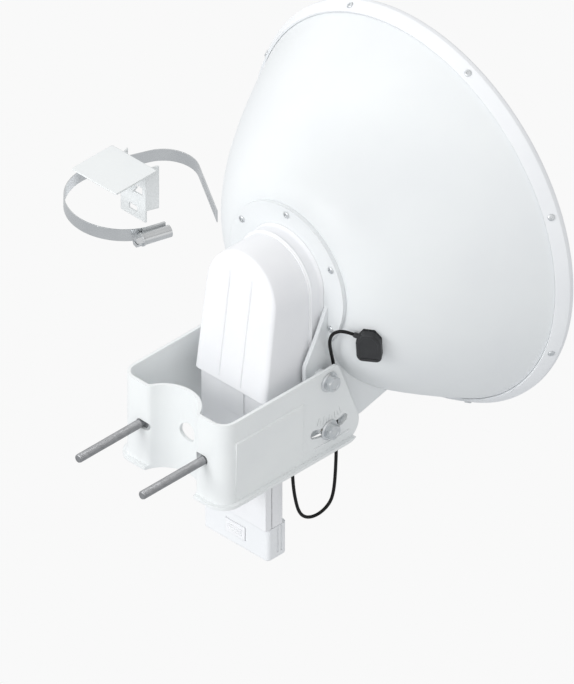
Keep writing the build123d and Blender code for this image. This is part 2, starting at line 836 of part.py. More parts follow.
def port_cover():
    top = radio_bottom_z - seam
    cover = prism_z(cover_face(0), cover_bottom_z, top)
    cover = fillet(cover.edges().group_by(Axis.Z)[0], cover_foot_r)
    cover -= prism_z(cover_face(wall), cover_bottom_z + wall, top + 1)
    # Grooves along both sides near the rear.
    for side in (1, -1):
        for back in groove_spots:
            y = cover_rear_y - back
            x0, x1 = sorted((side * radio_x, side * (radio_x - groove_deep)))
            cover -= block(x0, x1, y - groove_half, y + groove_half, cover_bottom_z + 6, top + 1)
    # The cables leave through a notch in the floor.
    low_y, high_z = cover_rear_y - notch_deep, cover_bottom_z + notch_deep
    cover -= block(-notch_x, notch_x, low_y, cover_rear_y + 1, cover_bottom_z - 1, high_z)
    cover -= block(-latch_x, latch_x, cover_front_y - 1, cover_front_y + wall + 1, latch_low_z, latch_high_z)
    return cover


def port_cover_latch():
    # A sprung tab set in the cover's front.
    half, low, high = latch_x - latch_gap, latch_low_z + latch_gap, latch_high_z - latch_gap
    tab = block(-half, half, cover_front_y - 0.8, cover_front_y + 1.4, low, high)
    tab = fillet(tab.edges().filter_by(Axis.Y), 1.2)
    for z in [latch_low_z + rise for rise in latch_grips]:
        tab += block(-8, 8, cover_front_y - 1.3, cover_front_y - 0.5, z - 0.5, z + 0.5)
    return tab


def port_seal():
    # A band round the port block that the cover closes on.
    low_y, high_y = radio_front_y + port_block_set_back, radio_rear_y
    z0 = radio_bottom_z - seal_below
    half, t = port_block_x + seal_band_t, seal_band_t
    outer = block(-half, half, low_y - t, high_y + t, z0, z0 + seal_band_h)
    return outer - block(-port_block_x, port_block_x, low_y, high_y, z0 - 1, z0 + seal_band_h + 1)


# Position receiver, cable and jack

def puck_place():
    # A plane on the bowl's back: its z leaves the bowl, its y points up the bowl.
    dx, dz = puck_x, puck_z - dish_z
    r = math.hypot(dx, dz)
    share = (r - hub_r) / (bowl_r - hub_r)
    rise = bowl_depth * bowl_power * share ** (bowl_power - 1)
    run = bowl_r - hub_r
    out = Vector(dx / r * rise, -run, dz / r * rise).normalized()
    up = (Vector(0, 0, 1) - out * out.Z).normalized()
    return Plane(origin=(puck_x, bowl_point(share)[1], puck_z), x_dir=up.cross(out), z_dir=out)


def puck_face(shrink):
    right = [
        (puck_low_cut_x, -puck_half_y),
        (puck_half_x, -puck_low_cut_y),
        (puck_half_x, puck_top_cut_y),
        (puck_top_cut_x, puck_half_y),
    ]
    left = [(-x, y) for x, y in reversed(right)]
    face = make_face(Polyline(*right, *left, close=True))
    face = fillet(face.vertices(), puck_corner_r)
    return offset(face, -shrink) if shrink else face


def gps_base():
    place = puck_place()
    foot = extrude(place.offset(-3) * puck_face(0.3), amount=3 + puck_base_t)
    return foot - bowl_solid()


def relief_points():
    # Where the cable's sleeve starts on the puck's cut corner, and where the cable leaves it.
    place = puck_place()
    middle = place.origin + place.z_dir * 4.5 - place.x_dir * 8 + place.y_dir * 12.5
    way = (Vector(-0.72, -0.60, 0.35)).normalized()
    return middle, middle + way * sleeve_run


def gps_housing():
    place = puck_place()
    case = extrude(place.offset(puck_base_t) * puck_face(0), amount=puck_t - puck_base_t)
    room = puck_t - puck_base_t - puck_wall
    inner = extrude(place.offset(puck_base_t - 0.1) * puck_face(puck_wall), amount=room)
    start, end = relief_points()
    way = (end - start).normalized()
    sleeve = rod(sleeve_r, start - way * 1.0, end)
    return (case + sleeve) - inner


def gps_patch():
    place = puck_place()
    patch = Box(patch_side, patch_side, patch_t, align=(Align.CENTER, Align.CENTER, Align.MIN))
    return place.offset(puck_base_t + 0.05) * patch


def gps_jack():
    y = jack_mid_y()
    jack = rod(jack_r, (radio_x - wall - 0.5, y, jack_z), (radio_x + jack_out, y, jack_z))
    return jack + hex_prism(jack_nut_r, (radio_x, y, jack_z), (radio_x + jack_nut_t, y, jack_z))


def plug_way():
    return Vector(0, 0.55, -0.835).normalized()


def gps_plug():
    y = jack_mid_y()
    nut = rod(plug_r, (radio_x + jack_nut_t + jack_fit, y, jack_z), (plug_x + 2, y, jack_z))
    nut -= rod(jack_r + jack_fit, (radio_x, y, jack_z), (radio_x + jack_out + jack_fit, y, jack_z))
    centre = Vector(plug_x, y, jack_z)
    return nut + rod(plug_tail_r, centre, centre + plug_way() * plug_tail_run)


def cable_route():
    start = Vector(plug_x, jack_mid_y(), jack_z) + plug_way() * plug_tail_run
    end = relief_points()[1]
    way = (end - relief_points()[0]).normalized()
    points = [
        tuple(start),
        tuple(start + plug_way() * 12),
        (45.8, 110.6, -66),
        (46.3, 112.4, -85),
        (47.1, 117.0, -105),
        (48.5, 125.6, -113.6),
        (50.3, 137.4, -114.8),
        (52.0, 147.8, -109.3),
        (53.0, 152.4, -100.4),
        (53.8, 154.2, -82),
        (54.5, 155.0, -50),
        (54.8, 154.4, -15),
        (54.9, 153.2, 15),
        (55.2, 151.0, 38),
        (56.0, 146.8, 53.5),
        (57.6, 143.3, 65),
        (60.6, 141.8, 74.5),
        (65.8, 141.9, 81.7),
        tuple(end + way * 9),
        tuple(end),
    ]
    return points


def gps_cable():
    points = [Vector(p) for p in cable_route()]
    radii = []
    for before, here, after in zip(points, points[1:], points[2:]):
        run = min((here - before).length, (after - here).length)
        half_turn = math.radians((here - before).get_angle(after - here)) / 2
        radii.append(0.45 * run / math.tan(half_turn))
    print("cable radii", [round(r, 1) for r in radii])
    path = FilletPolyline(*points, radius=radii)
    start_plane = Plane(origin=points[0], z_dir=points[1] - points[0])
    cable = sweep(start_plane * Circle(cable_r), path=path)
    ideal = math.pi * cable_r**2 * path.length
    print("cable length", round(path.length, 1), "volume", round(cable.volume, 1), "section x length", round(ideal, 1))
    return cable


# Strap mount

def gps_mount_plate():
    rear_y = leg_front_y + strap_sheet
    tray = block(-tray_x / 2, tray_x / 2, rear_y - tray_y, rear_y, tray_top_z - strap_sheet, tray_top_z)
    tray = fillet(tray.edges().filter_by(Axis.Z), tray_corner_r)
    plate = tray + block(-leg_x, leg_x, leg_front_y, rear_y, leg_bottom_z, tray_top_z)
    # Two flanges spread to the mast, so their edges touch it.
    touch = math.radians(flange_touch_deg)
    edge_x = cradle_r * math.sin(touch) + side_gap
    edge_y = -cradle_r * math.cos(touch) - side_gap
    leg_side = [(leg_x - strap_sheet, leg_front_y), (leg_x, leg_front_y)]
    mast_side = [(edge_x + strap_sheet, edge_y), (edge_x, edge_y)]
    flange = prism_z(make_face(Polyline(*leg_side, *mast_side, close=True)), leg_bottom_z + 12, tray_top_z - 4)
    plate += both_sides(flange)
    # Openings in the leg, and the tongue that keeps the band from sliding.
    for below in leg_slots_below:
        z = tray_top_z - below
        plate -= block(*leg_slot_x, leg_front_y - 1, rear_y + 1, z - leg_slot_half, z + leg_slot_half)
    low_z, high_z = [leg_bottom_z + rise for rise in leg_foot_slot_z]
    plate -= block(-leg_foot_slot_x, leg_foot_slot_x, leg_front_y - 1, rear_y + 1, low_z, high_z)
    tongue = prism_x(
        [
            (leg_front_y + 0.2, band_z + 8.0),
            (leg_front_y - 5.5, band_z + 6.0),
            (leg_front_y - 5.5, band_z + 7.5),
            (leg_front_y + 0.2, band_z + 9.5),
        ],
        -9,
        5,
    )
    return plate + tongue


def band_circle(angle_deg, extra=0.0):
    turn = math.radians(angle_deg)
    return loop_x + (loop_r + extra) * math.cos(turn), loop_y + (loop_r + extra) * math.sin(turn)


def mast_point(angle_deg, extra=0.0):
    turn = math.radians(angle_deg)
    r = cradle_r + band_play + extra
    return r * math.cos(turn), r * math.sin(turn)


def leaving_deg():
    # The way square to the straight stretch that touches the loop's circle and the mast's circle alike.
    gap = math.hypot(loop_x, loop_y)
    towards = math.degrees(math.atan2(-loop_y, -loop_x))
    return towards + math.degrees(math.acos((loop_r - cradle_r - 0.8) / gap))


def band_edges(extra):
    # One face of the band in plan; extra moves it outwards.
    leave = leaving_deg()
    start = housing_angle_deg + 8
    loop_mid = (start + leave - 360) / 2
    tail = math.radians(tail_angle_deg)
    tail_x, tail_y = mast_point(tail_angle_deg, extra)
    tip = (tail_x + tail_len * math.sin(tail), tail_y - tail_len * math.cos(tail))
    loop_end, wrap_start = band_circle(leave, extra), mast_point(leave, extra)
    wrap_mid, wrap_end = mast_point((leave + tail_angle_deg) / 2, extra), mast_point(tail_angle_deg, extra)
    return [
        ThreePointArc(band_circle(start, extra), band_circle(loop_mid, extra), loop_end),
        Line(loop_end, wrap_start),
        ThreePointArc(wrap_start, wrap_mid, wrap_end),
        Line(wrap_end, tip),
    ]


def strap_band():
    inner, outer = band_edges(0), band_edges(band_t)
    ends = [Line(inner[0] @ 0, outer[0] @ 0), Line(inner[3] @ 1, outer[3] @ 1)]
    band = prism_z(make_face([*inner, *outer, *ends]), band_z - band_h / 2, band_z + band_h / 2)
    # Slanted slots in the free end, for the screw's thread.
    tail = math.radians(tail_angle_deg)
    base_x, base_y = mast_point(tail_angle_deg)
    along_way, out_way = (math.sin(tail), -math.cos(tail), 0), (math.cos(tail), math.sin(tail), 0)
    for number in range(thread_slots_n):
        along = thread_slot_start + thread_slot_step * number
        x, y = base_x + along * math.sin(tail), base_y - along * math.cos(tail)
        place = Plane(origin=(x, y, band_z), x_dir=along_way, z_dir=out_way)
        band -= place.rotated((0, 0, thread_slot_lean_deg)) * Box(thread_slot_w, band_h - 4, 6)
    return band


def housing_place():
    # On the band's outside near its fixed end: x along the band, z outwards.
    turn = math.radians(housing_angle_deg)
    x, y = band_circle(housing_angle_deg, band_t)
    along, out = (math.sin(turn), -math.cos(turn), 0), (math.cos(turn), math.sin(turn), 0)
    return Plane(origin=(x, y, band_z), x_dir=along, z_dir=out)


def housing_bore():
    return screw_r + screw_fit


def strap_housing():
    place = housing_place()
    r = housing_bore() + housing_wall
    height = r + housing_lift
    body = place * Pos(0, 0, height) * Rot(0, 90, 0) * Cylinder(r, housing_len)
    foot = place * Pos(0, 0, 1.0) * Box(housing_foot_len, band_h + 2, 2.0)
    housing = body + foot
    housing -= place * Pos(0, 0, height) * Rot(0, 90, 0) * Cylinder(housing_bore(), housing_len + 2)
    curve = Pos(loop_x, loop_y, band_z) * Cylinder(loop_r + band_t, 60)
    return housing - curve


def strap_screw():
    place = housing_place()
    height = housing_bore() + housing_wall + housing_lift
    along = Align.CENTER, Align.CENTER, Align.MIN
    collar_x = housing_len / 2 + screw_play
    head_x = collar_x + collar_t
    axis = place * Pos(0, 0, height) * Rot(0, 90, 0)
    screw = axis * Pos(0, 0, -housing_len / 2) * Cylinder(screw_r, housing_len + screw_play, align=along)
    collar = axis * Pos(0, 0, collar_x) * Cylinder(collar_r, collar_t, align=along)
    head = axis * Pos(0, 0, head_x) * extrude(RegularPolygon(screw_head_r, 6), amount=screw_head_t)
    slot = place * Pos(head_x + screw_head_t, 0, height) * Box(3.0, screw_slot, 14)
    return screw + collar + head - slot


pieces = {
    "mast_bracket": mast_bracket,
    "clamp_bolts": clamp_bolts,
    "reflector": reflector,
    "radome": radome,
    "radome_gasket": radome_gasket,
    "rim_screws": rim_screws,
    "dish_hub": dish_hub,
    "hub_screws": hub_screws,
    "threaded_inserts": threaded_inserts,
    "flange_bolt_right_top": lambda: flange_bolt(1, pivot_z),
    "flange_bolt_right_low": lambda: flange_bolt(1, pivot_z - slot_r),
    "flange_bolt_left_top": lambda: flange_bolt(-1, pivot_z),
    "flange_bolt_left_low": lambda: flange_bolt(-1, pivot_z - slot_r),
    "arch_housing": arch_housing,
    "hood": hood,
    "radio_front_shell": radio_front_shell,
    "radio_rear_shell": radio_rear_shell,
    "radio_gasket": radio_gasket,
    "radio_board": radio_board,
    "rf_shield": rf_shield,
    "heat_spreader": heat_spreader,
    "network_jacks": network_jacks,
    "reset_button": reset_button,
    "feed_base": feed_base,
    "feed_tube": feed_tube,
    "feed_cone": feed_cone,
    "subreflector": subreflector,
    "port_cover": port_cover,
    "port_cover_latch": port_cover_latch,
    "port_seal": port_seal,
    "gps_base": gps_base,
    "gps_housing": gps_housing,
    "gps_patch": gps_patch,
    "gps_jack": gps_jack,
    "gps_plug": gps_plug,
    "gps_cable": gps_cable,
    "gps_mount_plate": gps_mount_plate,
    "strap_band": strap_band,
    "strap_housing": strap_housing,
    "strap_screw": strap_screw,
}

os.makedirs("parts", exist_ok=True)
for name, make in pieces.items():
    solid = make()
    export_step(solid, "parts/" + name + ".step")
    print(name, round(solid.volume, 1))
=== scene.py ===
import bmesh
import bpy
import json
import math
import numpy as np
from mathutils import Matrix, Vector


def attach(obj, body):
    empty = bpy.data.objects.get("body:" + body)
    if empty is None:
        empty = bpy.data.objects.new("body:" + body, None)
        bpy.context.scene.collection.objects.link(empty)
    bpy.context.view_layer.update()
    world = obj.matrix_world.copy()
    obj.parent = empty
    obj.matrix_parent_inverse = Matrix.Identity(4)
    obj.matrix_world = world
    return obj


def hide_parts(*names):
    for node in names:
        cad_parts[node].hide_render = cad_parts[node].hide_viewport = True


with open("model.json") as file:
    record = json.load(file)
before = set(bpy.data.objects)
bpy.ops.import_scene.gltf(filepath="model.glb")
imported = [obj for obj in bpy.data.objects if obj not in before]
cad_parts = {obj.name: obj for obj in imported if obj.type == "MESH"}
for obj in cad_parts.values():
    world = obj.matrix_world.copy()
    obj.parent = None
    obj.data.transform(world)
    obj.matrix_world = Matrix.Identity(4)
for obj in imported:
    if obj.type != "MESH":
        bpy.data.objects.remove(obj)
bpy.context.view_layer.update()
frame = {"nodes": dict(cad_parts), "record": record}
print("frame loaded", len(frame["nodes"]), "nodes")


def mm(*values):
    return tuple(value / 1000 for value in values)


def linearChannel(value):
    return value / 12.92 if value <= 0.04045 else ((value + 0.055) / 1.055) ** 2.4


def paint(text):
    # An sRGB hex colour as linear RGBA.
    return tuple(linearChannel(int(text[i : i + 2], 16) / 255) for i in (1, 3, 5)) + (1.0,)


# Camera: a true isometric view, from above, behind and to the right.
cameraSettings = {"aim": mm(0, 149.65, 34.6), "back": (1, -1, 1), "distance": 2.4, "width": 0.5851}
cameraData = bpy.data.cameras.new("viewCamera")
cameraData.type = "ORTHO"
cameraData.ortho_scale = cameraSettings["width"]
cameraData.clip_end = 20
camera = bpy.data.objects.new("viewCamera", cameraData)
bpy.context.scene.collection.objects.link(camera)
backWay = Vector(cameraSettings["back"]).normalized()
camera.location = Vector(cameraSettings["aim"]) + backWay * cameraSettings["distance"]
camera.rotation_euler = backWay.to_track_quat("Z", "Y").to_euler()
bpy.context.scene.camera = camera
bpy.context.scene.view_settings.view_transform = "Standard"
bpy.context.scene.view_settings.look = "None"


# Shader helpers

def addNode(tree, kind, inputs=None, **settings):
    # One shader node with its settings, constants and links; a socket among inputs is linked, a value is set.
    node = tree.nodes.new(kind)
    for key, value in settings.items():
        setattr(node, key, value)
    for key, value in (inputs or {}).items():
        if isinstance(value, bpy.types.NodeSocket):
            tree.links.new(value, node.inputs[key])
        else:
            node.inputs[key].default_value = value
    return node


def newMaterial(name):
    material = bpy.data.materials.new(name)
    material.use_nodes = True
    material.node_tree.nodes.clear()
    return material, material.node_tree


def finishMaterial(tree, shader):
    addNode(tree, "ShaderNodeOutputMaterial", {"Surface": shader.outputs[0]})


# Object coordinates are in metres, and the patterns below are sized in millimetres.
perMetre = 1000
noiseMiddle = {"From Min": 0.3, "From Max": 0.7}


def coated(name, settings):
    # Paint or moulded plastic: fine grain over a broader ripple, rounded edges and a faint drift of tone.
    # The grain is drawn a few times coarser than the real one, so that it shows from here.
    material, tree = newMaterial(name)
    ownPlace = addNode(tree, "ShaderNodeTexCoord").outputs["Object"]
    place = addNode(tree, "ShaderNodeMapping", {"Vector": ownPlace, "Scale": (perMetre,) * 3}).outputs[0]
    fine, wave, broad = (
        addNode(
            tree, "ShaderNodeTexNoise",
            {"Vector": place, "Scale": 1 / settings[size], "Detail": detail, "Roughness": 0.55},
        ).outputs["Fac"]
        for size, detail in (("grainMm", 2.0), ("peelMm", 1.0), ("driftMm", 4.0))
    )
    normal = addNode(tree, "ShaderNodeBevel", {"Radius": settings["edgeMm"] / perMetre}, samples=8).outputs[0]
    for height, strength, deep in ((wave, 0.25, "peelDeepMm"), (fine, 0.3, "grainDeepMm")):
        inputs = {"Strength": strength, "Distance": settings[deep] / perMetre, "Height": height, "Normal": normal}
        normal = addNode(tree, "ShaderNodeBump", inputs).outputs[0]
    share, rough = (
        addNode(
            tree, "ShaderNodeMapRange", {"Value": value, **noiseMiddle, "To Min": low, "To Max": high},
        ).outputs[0]
        for value, low, high in ((broad, 0, 1), (fine, settings["rough"] - 0.05, settings["rough"] + 0.06))
    )
    colours = {0: share, 6: paint(settings["colour"]), 7: paint(settings["drift"])}
    tone = addNode(tree, "ShaderNodeMix", colours, data_type="RGBA").outputs[2]
    shader = addNode(
        tree,
        "ShaderNodeBsdfPrincipled",
        {
            "Base Color": tone,
            "Roughness": rough,
            "Normal": normal,
            "Coat Weight": settings.get("coat", 0.0),
            "Coat Roughness": 0.25,
            "Specular IOR Level": settings.get("shine", 0.4),
        },
    )
    finishMaterial(tree, shader)
    return material


def metal(name, settings):
    # Bare or plated metal: working marks stretched along the metal's run, under a cloudy drift of tone.
    # The marks are drawn a few times coarser than real ones, so that they show from here.
    material, tree = newMaterial(name)
    ownPlace = addNode(tree, "ShaderNodeTexCoord").outputs["Object"]
    marks, cloud = (
        addNode(
            tree, "ShaderNodeTexNoise",
            {
                "Vector": addNode(tree, "ShaderNodeMapping", {
                    "Vector": ownPlace, "Scale": tuple(perMetre * value for value in stretch),
                }).outputs[0],
                "Scale": 1 / settings[size], "Detail": detail, "Roughness": roughness,
            },
        ).outputs["Fac"]
        for stretch, size, detail, roughness in (
            (settings["stretch"], "markMm", 3.0, 0.7), ((1, 1, 1), "cloudMm", 5.0, 0.55)
        )
    )
    edge = addNode(tree, "ShaderNodeBevel", {"Radius": settings["edgeMm"] / perMetre}, samples=4).outputs[0]
    inputs = {"Strength": 0.35, "Distance": settings["markDeepMm"] / perMetre, "Height": marks, "Normal": edge}
    normal = addNode(tree, "ShaderNodeBump", inputs).outputs[0]
    share, rough = (
        addNode(
            tree, "ShaderNodeMapRange", {"Value": value, **noiseMiddle, "To Min": low, "To Max": high},
        ).outputs[0]
        for value, low, high in ((cloud, 0, 1), (marks, settings["rough"] - 0.07, settings["rough"] + 0.1))
    )
    colours = {0: share, 6: paint(settings["colour"]), 7: paint(settings["drift"])}
    tone = addNode(tree, "ShaderNodeMix", colours, data_type="RGBA").outputs[2]
    shader = addNode(
        tree, "ShaderNodeBsdfPrincipled",
        {"Base Color": tone, "Metallic": 1.0, "Roughness": rough, "Normal": normal},
    )
    finishMaterial(tree, shader)
    return material


def circuitBoard(name):
    # Solder mask over a brick pattern of tracks, laid in the board's plane. Real tracks are finer.
    material, tree = newMaterial(name)
    ownPlace = addNode(tree, "ShaderNodeTexCoord").outputs["Object"]
    place = addNode(tree, "ShaderNodeMapping", {"Vector": ownPlace, "Scale": (perMetre,) * 3}).outputs[0]
    flat = addNode(tree, "ShaderNodeMapping", {"Vector": place, "Rotation": (math.pi / 2, 0, 0)}).outputs[0]
    bricks = addNode(
        tree,
        "ShaderNodeTexBrick",
        {
            "Vector": flat,
            "Scale": 0.2,
            "Color1": paint("#0c4a2a"),
            "Color2": paint("#0f5a33"),
            "Mortar": paint("#1d7a48"),
            "Mortar Size": 0.03,
        },
    )
    shader = addNode(tree, "ShaderNodeBsdfPrincipled", {"Base Color": bricks.outputs[0], "Roughness": 0.35})
    finishMaterial(tree, shader)
    return material


# Powder coat on folded steel: satin white, whose faint orange peel breaks up highlights on the broad faces.
powderSteel = coated(
    "powderCoatedSteel",
    {
        "colour": "#e9ecec", "drift": "#e5e8e9", "rough": 0.42, "coat": 0.12,
        "grainMm": 0.5, "grainDeepMm": 0.02, "peelMm": 2.2, "peelDeepMm": 0.05, "driftMm": 60, "edgeMm": 0.6,
    },
)
# Powder coat on spun aluminium: slightly smoother, so the bowl carries one long soft highlight.
powderAluminium = coated(
    "powderCoatedAluminium",
    {
        "colour": "#e6e9ea", "drift": "#e2e5e7", "rough": 0.4, "coat": 0.1,
        "grainMm": 0.5, "grainDeepMm": 0.02, "peelMm": 2.5, "peelDeepMm": 0.05, "driftMm": 90, "edgeMm": 0.8,
    },
)
# Moulded shell: cool, even and matt, with thin lines of light along its edges.
whiteShell = coated(
    "injectionMouldedWhiteShell",
    {
        "colour": "#eeeff1", "drift": "#eaebee", "rough": 0.46,
        "grainMm": 0.28, "grainDeepMm": 0.015, "peelMm": 6, "peelDeepMm": 0.02, "driftMm": 45, "edgeMm": 0.9,
    },
)
# Moulded cover: a shade greyer and duller than the shell, so that it reads as another moulding.
whiteCover = coated(
    "injectionMouldedWhiteCover",
    {
        "colour": "#ebedef", "drift": "#e6e8eb", "rough": 0.48,
        "grainMm": 0.3, "grainDeepMm": 0.015, "peelMm": 6, "peelDeepMm": 0.02, "driftMm": 70, "edgeMm": 0.8,
    },
)
# Spark-eroded shell: a fine matt grain that keeps the black from looking flat.
blackShell = coated(
    "sparkErodedBlackShell",
    {
        "colour": "#2f3032", "drift": "#2a2b2d", "rough": 0.5, "shine": 0.35,
        "grainMm": 0.25, "grainDeepMm": 0.03, "peelMm": 5, "peelDeepMm": 0.02, "driftMm": 9, "edgeMm": 0.5,
    },
)
# Moulded rubber: dull, with hardly a highlight, so that seals look softer than shells.
blackRubber = coated(
    "mouldedBlackRubber",
    {
        "colour": "#17181a", "drift": "#1c1d1f", "rough": 0.7, "shine": 0.3,
        "grainMm": 0.4, "grainDeepMm": 0.03, "peelMm": 4, "peelDeepMm": 0.03, "driftMm": 8, "edgeMm": 0.3,
    },
)
# Extruded jacket: near black, with a low sheen along the run.
cableJacket = coated(
    "extrudedCableJacket",
    {
        "colour": "#070708", "drift": "#0a0a0b", "rough": 0.5, "shine": 0.25,
        "grainMm": 0.5, "grainDeepMm": 0.01, "peelMm": 3, "peelDeepMm": 0.02, "driftMm": 14, "edgeMm": 0.1,
    },
)
# Turned polymer: a warm off-white beside the cool shells.
feedPolymer = coated(
    "turnedFeedPolymer",
    {
        "colour": "#e4e1d8", "drift": "#dedacf", "rough": 0.5,
        "grainMm": 0.4, "grainDeepMm": 0.02, "peelMm": 3, "peelDeepMm": 0.02, "driftMm": 12, "edgeMm": 0.4,
    },
)
# Fired ceramic: sandy and dry.
firedCeramic = coated(
    "firedAntennaCeramic",
    {
        "colour": "#cdbfa4", "drift": "#c4b595", "rough": 0.55,
        "grainMm": 0.3, "grainDeepMm": 0.02, "peelMm": 2, "peelDeepMm": 0.02, "driftMm": 5, "edgeMm": 0.3,
    },
)
# Zinc plate: bright cloudy grey, so that bolt heads stand out from the white parts.
zincPlate = metal(
    "brightZincPlate",
    {
        "colour": "#dcdedf", "drift": "#cfd3d6", "rough": 0.33, "stretch": (1, 1, 1),
        "markMm": 0.6, "markDeepMm": 0.02, "cloudMm": 5, "edgeMm": 0.35,
    },
)
# Rolled thread in plain steel: darker and rougher than zinc, so that the crests show.
rolledRod = metal(
    "rolledThreadSteel",
    {
        "colour": "#a9aaac", "drift": "#97989a", "rough": 0.45, "stretch": (1, 0.3, 1),
        "markMm": 0.5, "markDeepMm": 0.02, "cloudMm": 6, "edgeMm": 0.2,
    },
)
# Cold rolled strip: fine lines along the band draw its reflections out.
stripSteel = metal(
    "coldRolledStripSteel",
    {
        "colour": "#d9dbdc", "drift": "#cfd1d3", "rough": 0.22, "stretch": (0.05, 0.05, 1),
        "markMm": 0.35, "markDeepMm": 0.01, "cloudMm": 30, "edgeMm": 0.2,
    },
)
# Milled aluminium: cutter marks that dull its reflections.
milledAluminium = metal(
    "milledAluminium",
    {
        "colour": "#c3c6c8", "drift": "#b8bbbe", "rough": 0.36, "stretch": (1, 0.1, 1),
        "markMm": 0.5, "markDeepMm": 0.01, "cloudMm": 15, "edgeMm": 0.3,
    },
)
# Gold flash on brass: warm and bright inside the holes where it shows.
goldBrass = metal(
    "goldFlashedBrass",
    {
        "colour": "#cfa756", "drift": "#c39a48", "rough": 0.28, "stretch": (1, 1, 1),
        "markMm": 0.4, "markDeepMm": 0.01, "cloudMm": 4, "edgeMm": 0.2,
    },
)
# Solder mask on a board: deep green with lighter tracks.
greenBoard = circuitBoard("solderMaskedBoard")

slotMaterials = {
    "white_powder_coat": powderSteel,
    "white_aluminium": powderAluminium,
    "white_shell": whiteShell,
    "white_cover": whiteCover,
    "zinc_steel": zincPlate,
    "rod_steel": rolledRod,
    "strap_steel": stripSteel,
    "black_rubber": blackRubber,
    "black_cable": cableJacket,
    "black_shell": blackShell,
    "circuit_board": greenBoard,
    "shield_tin": zincPlate,
    "bare_aluminium": milledAluminium,
    "brass_plate": goldBrass,
    "feed_plastic": feedPolymer,
    "ceramic_patch": firedCeramic,
}
for entry in frame["record"]["subparts"]:
    node = frame["nodes"][entry["node"]]
    node.data.materials.clear()
    node.data.materials.append(slotMaterials[entry["material_slot"]])
print("materials set on", len(frame["nodes"]), "nodes")


# Mesh helpers

def addPiece(name, vertices, faces, material, body, nodes=(), smoothDeg=35):
    mesh = bpy.data.meshes.new(name)
    mesh.from_pydata(np.asarray(vertices, float).tolist(), [], faces)
    mesh.validate()
    mesh.shade_smooth()
    mesh.set_sharp_from_angle(angle=math.radians(smoothDeg))
    mesh.materials.append(material)
    piece = bpy.data.objects.new(name, mesh)
    bpy.context.scene.collection.objects.link(piece)
    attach(piece, body)
    if nodes:
        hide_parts(*nodes)
    return piece


def gridFaces(rows, columns, closeRows=False, start=0, capEnds=False):
    # Quads between neighbouring rows of a grid whose columns go round; capEnds closes the first and last row.
    corner = start + np.arange(rows * columns).reshape(rows, columns)
    beside = np.roll(corner, -1, axis=1)
    quads = np.stack((corner, beside, np.roll(beside, -1, axis=0), np.roll(corner, -1, axis=0)), axis=-1)
    faces = quads[: rows if closeRows else rows - 1].reshape(-1, 4).tolist()
    if capEnds:
        faces += [corner[0][::-1].tolist(), corner[-1].tolist()]
    return faces


def turned(profile, centre, axis, side, segments):
    # A closed (radius, distance along axis) profile turned round an axis: rows follow the profile.
    axis, side = np.array(axis, float), np.array(side, float)
    across = np.cross(axis, side)
    turns = np.linspace(0, 2 * math.pi, segments, endpoint=False)
    ringWays = np.outer(np.cos(turns), side) + np.outer(np.sin(turns), across)
    radius, along = np.array(profile, float).T[:, :, None, None]
    return (np.array(centre) + along * axis + radius * ringWays).reshape(-1, 3)


def roundedOutline(points, radius, steps):
    # A convex polygon with each corner cut by a quadratic curve; returns (n, 2) points.
    here = np.array(points, float)
    toBefore, toAfter = np.roll(here, 1, axis=0) - here, np.roll(here, -1, axis=0) - here
    first = here + toBefore / np.linalg.norm(toBefore, axis=1)[:, None] * radius
    last = here + toAfter / np.linalg.norm(toAfter, axis=1)[:, None] * radius
    t = np.linspace(0, 1, steps)[None, :, None]
    curve = (1 - t) ** 2 * first[:, None] + 2 * t * (1 - t) * here[:, None] + t * t * last[:, None]
    return curve.reshape(-1, 2)


# Dish: bowl and cover, turned about the dish axis

def bowlProfile(shape):
    # r and y of the back surface: r = hub + run t, y = hubY + depth t^power, t from 0 to 1.
    t = np.linspace(0, 1, shape["steps"])
    run = shape["bowlR"] - shape["hubR"]
    r = shape["hubR"] + run * t
    y = shape["hubY"] + shape["depth"] * t ** shape["power"]
    rise = shape["depth"] * shape["power"] * t ** (shape["power"] - 1)
    size = np.hypot(rise, run)
    return r, y, rise / size, run / size


dishShape = {
    "hubR": 0.069, "bowlR": 0.181, "hubY": 0.153, "depth": 0.140, "power": 1.64, "steps": 72,
    "thick": 0.002, "rimRise": 0.006, "rimRun": 0.011, "holeR": 0.030, "centreZ": 0.106, "segments": 320,
}


def buildDish(shape):
    r, y, leanR, leanY = bowlProfile(shape)
    back = np.stack((r, y), axis=1)
    front = np.stack((r - shape["thick"] * leanR, y + shape["thick"] * leanY), axis=1)
    rimR, rimY = shape["bowlR"] + shape["rimRise"], y[-1] + shape["rimRun"]
    rim = [(rimR, rimY), (rimR - shape["thick"], rimY)]
    hole = [(shape["holeR"], shape["hubY"] + shape["thick"]), (shape["holeR"], shape["hubY"])]
    profile = np.concatenate((back, rim, front[::-1], hole))
    vertices = turned(profile, (0, 0, shape["centreZ"]), (0, 1, 0), (0, 0, 1), shape["segments"])
    faces = gridFaces(len(profile), shape["segments"], closeRows=True)
    faces = [face[::-1] for face in faces]
    return addPiece("dishBowl", vertices, faces, powderAluminium, "antenna", ("reflector",))


buildDish(dishShape)

coverShape = {
    "skirt": 0.0024, "fit": 0.0003, "gasket": 0.002, "dome": 0.012, "bend": 0.003, "steps": 40, "bendSteps": 8,
    "lip": 0.0004, "lipBack": 0.0001, "middleR": 1e-5,
}


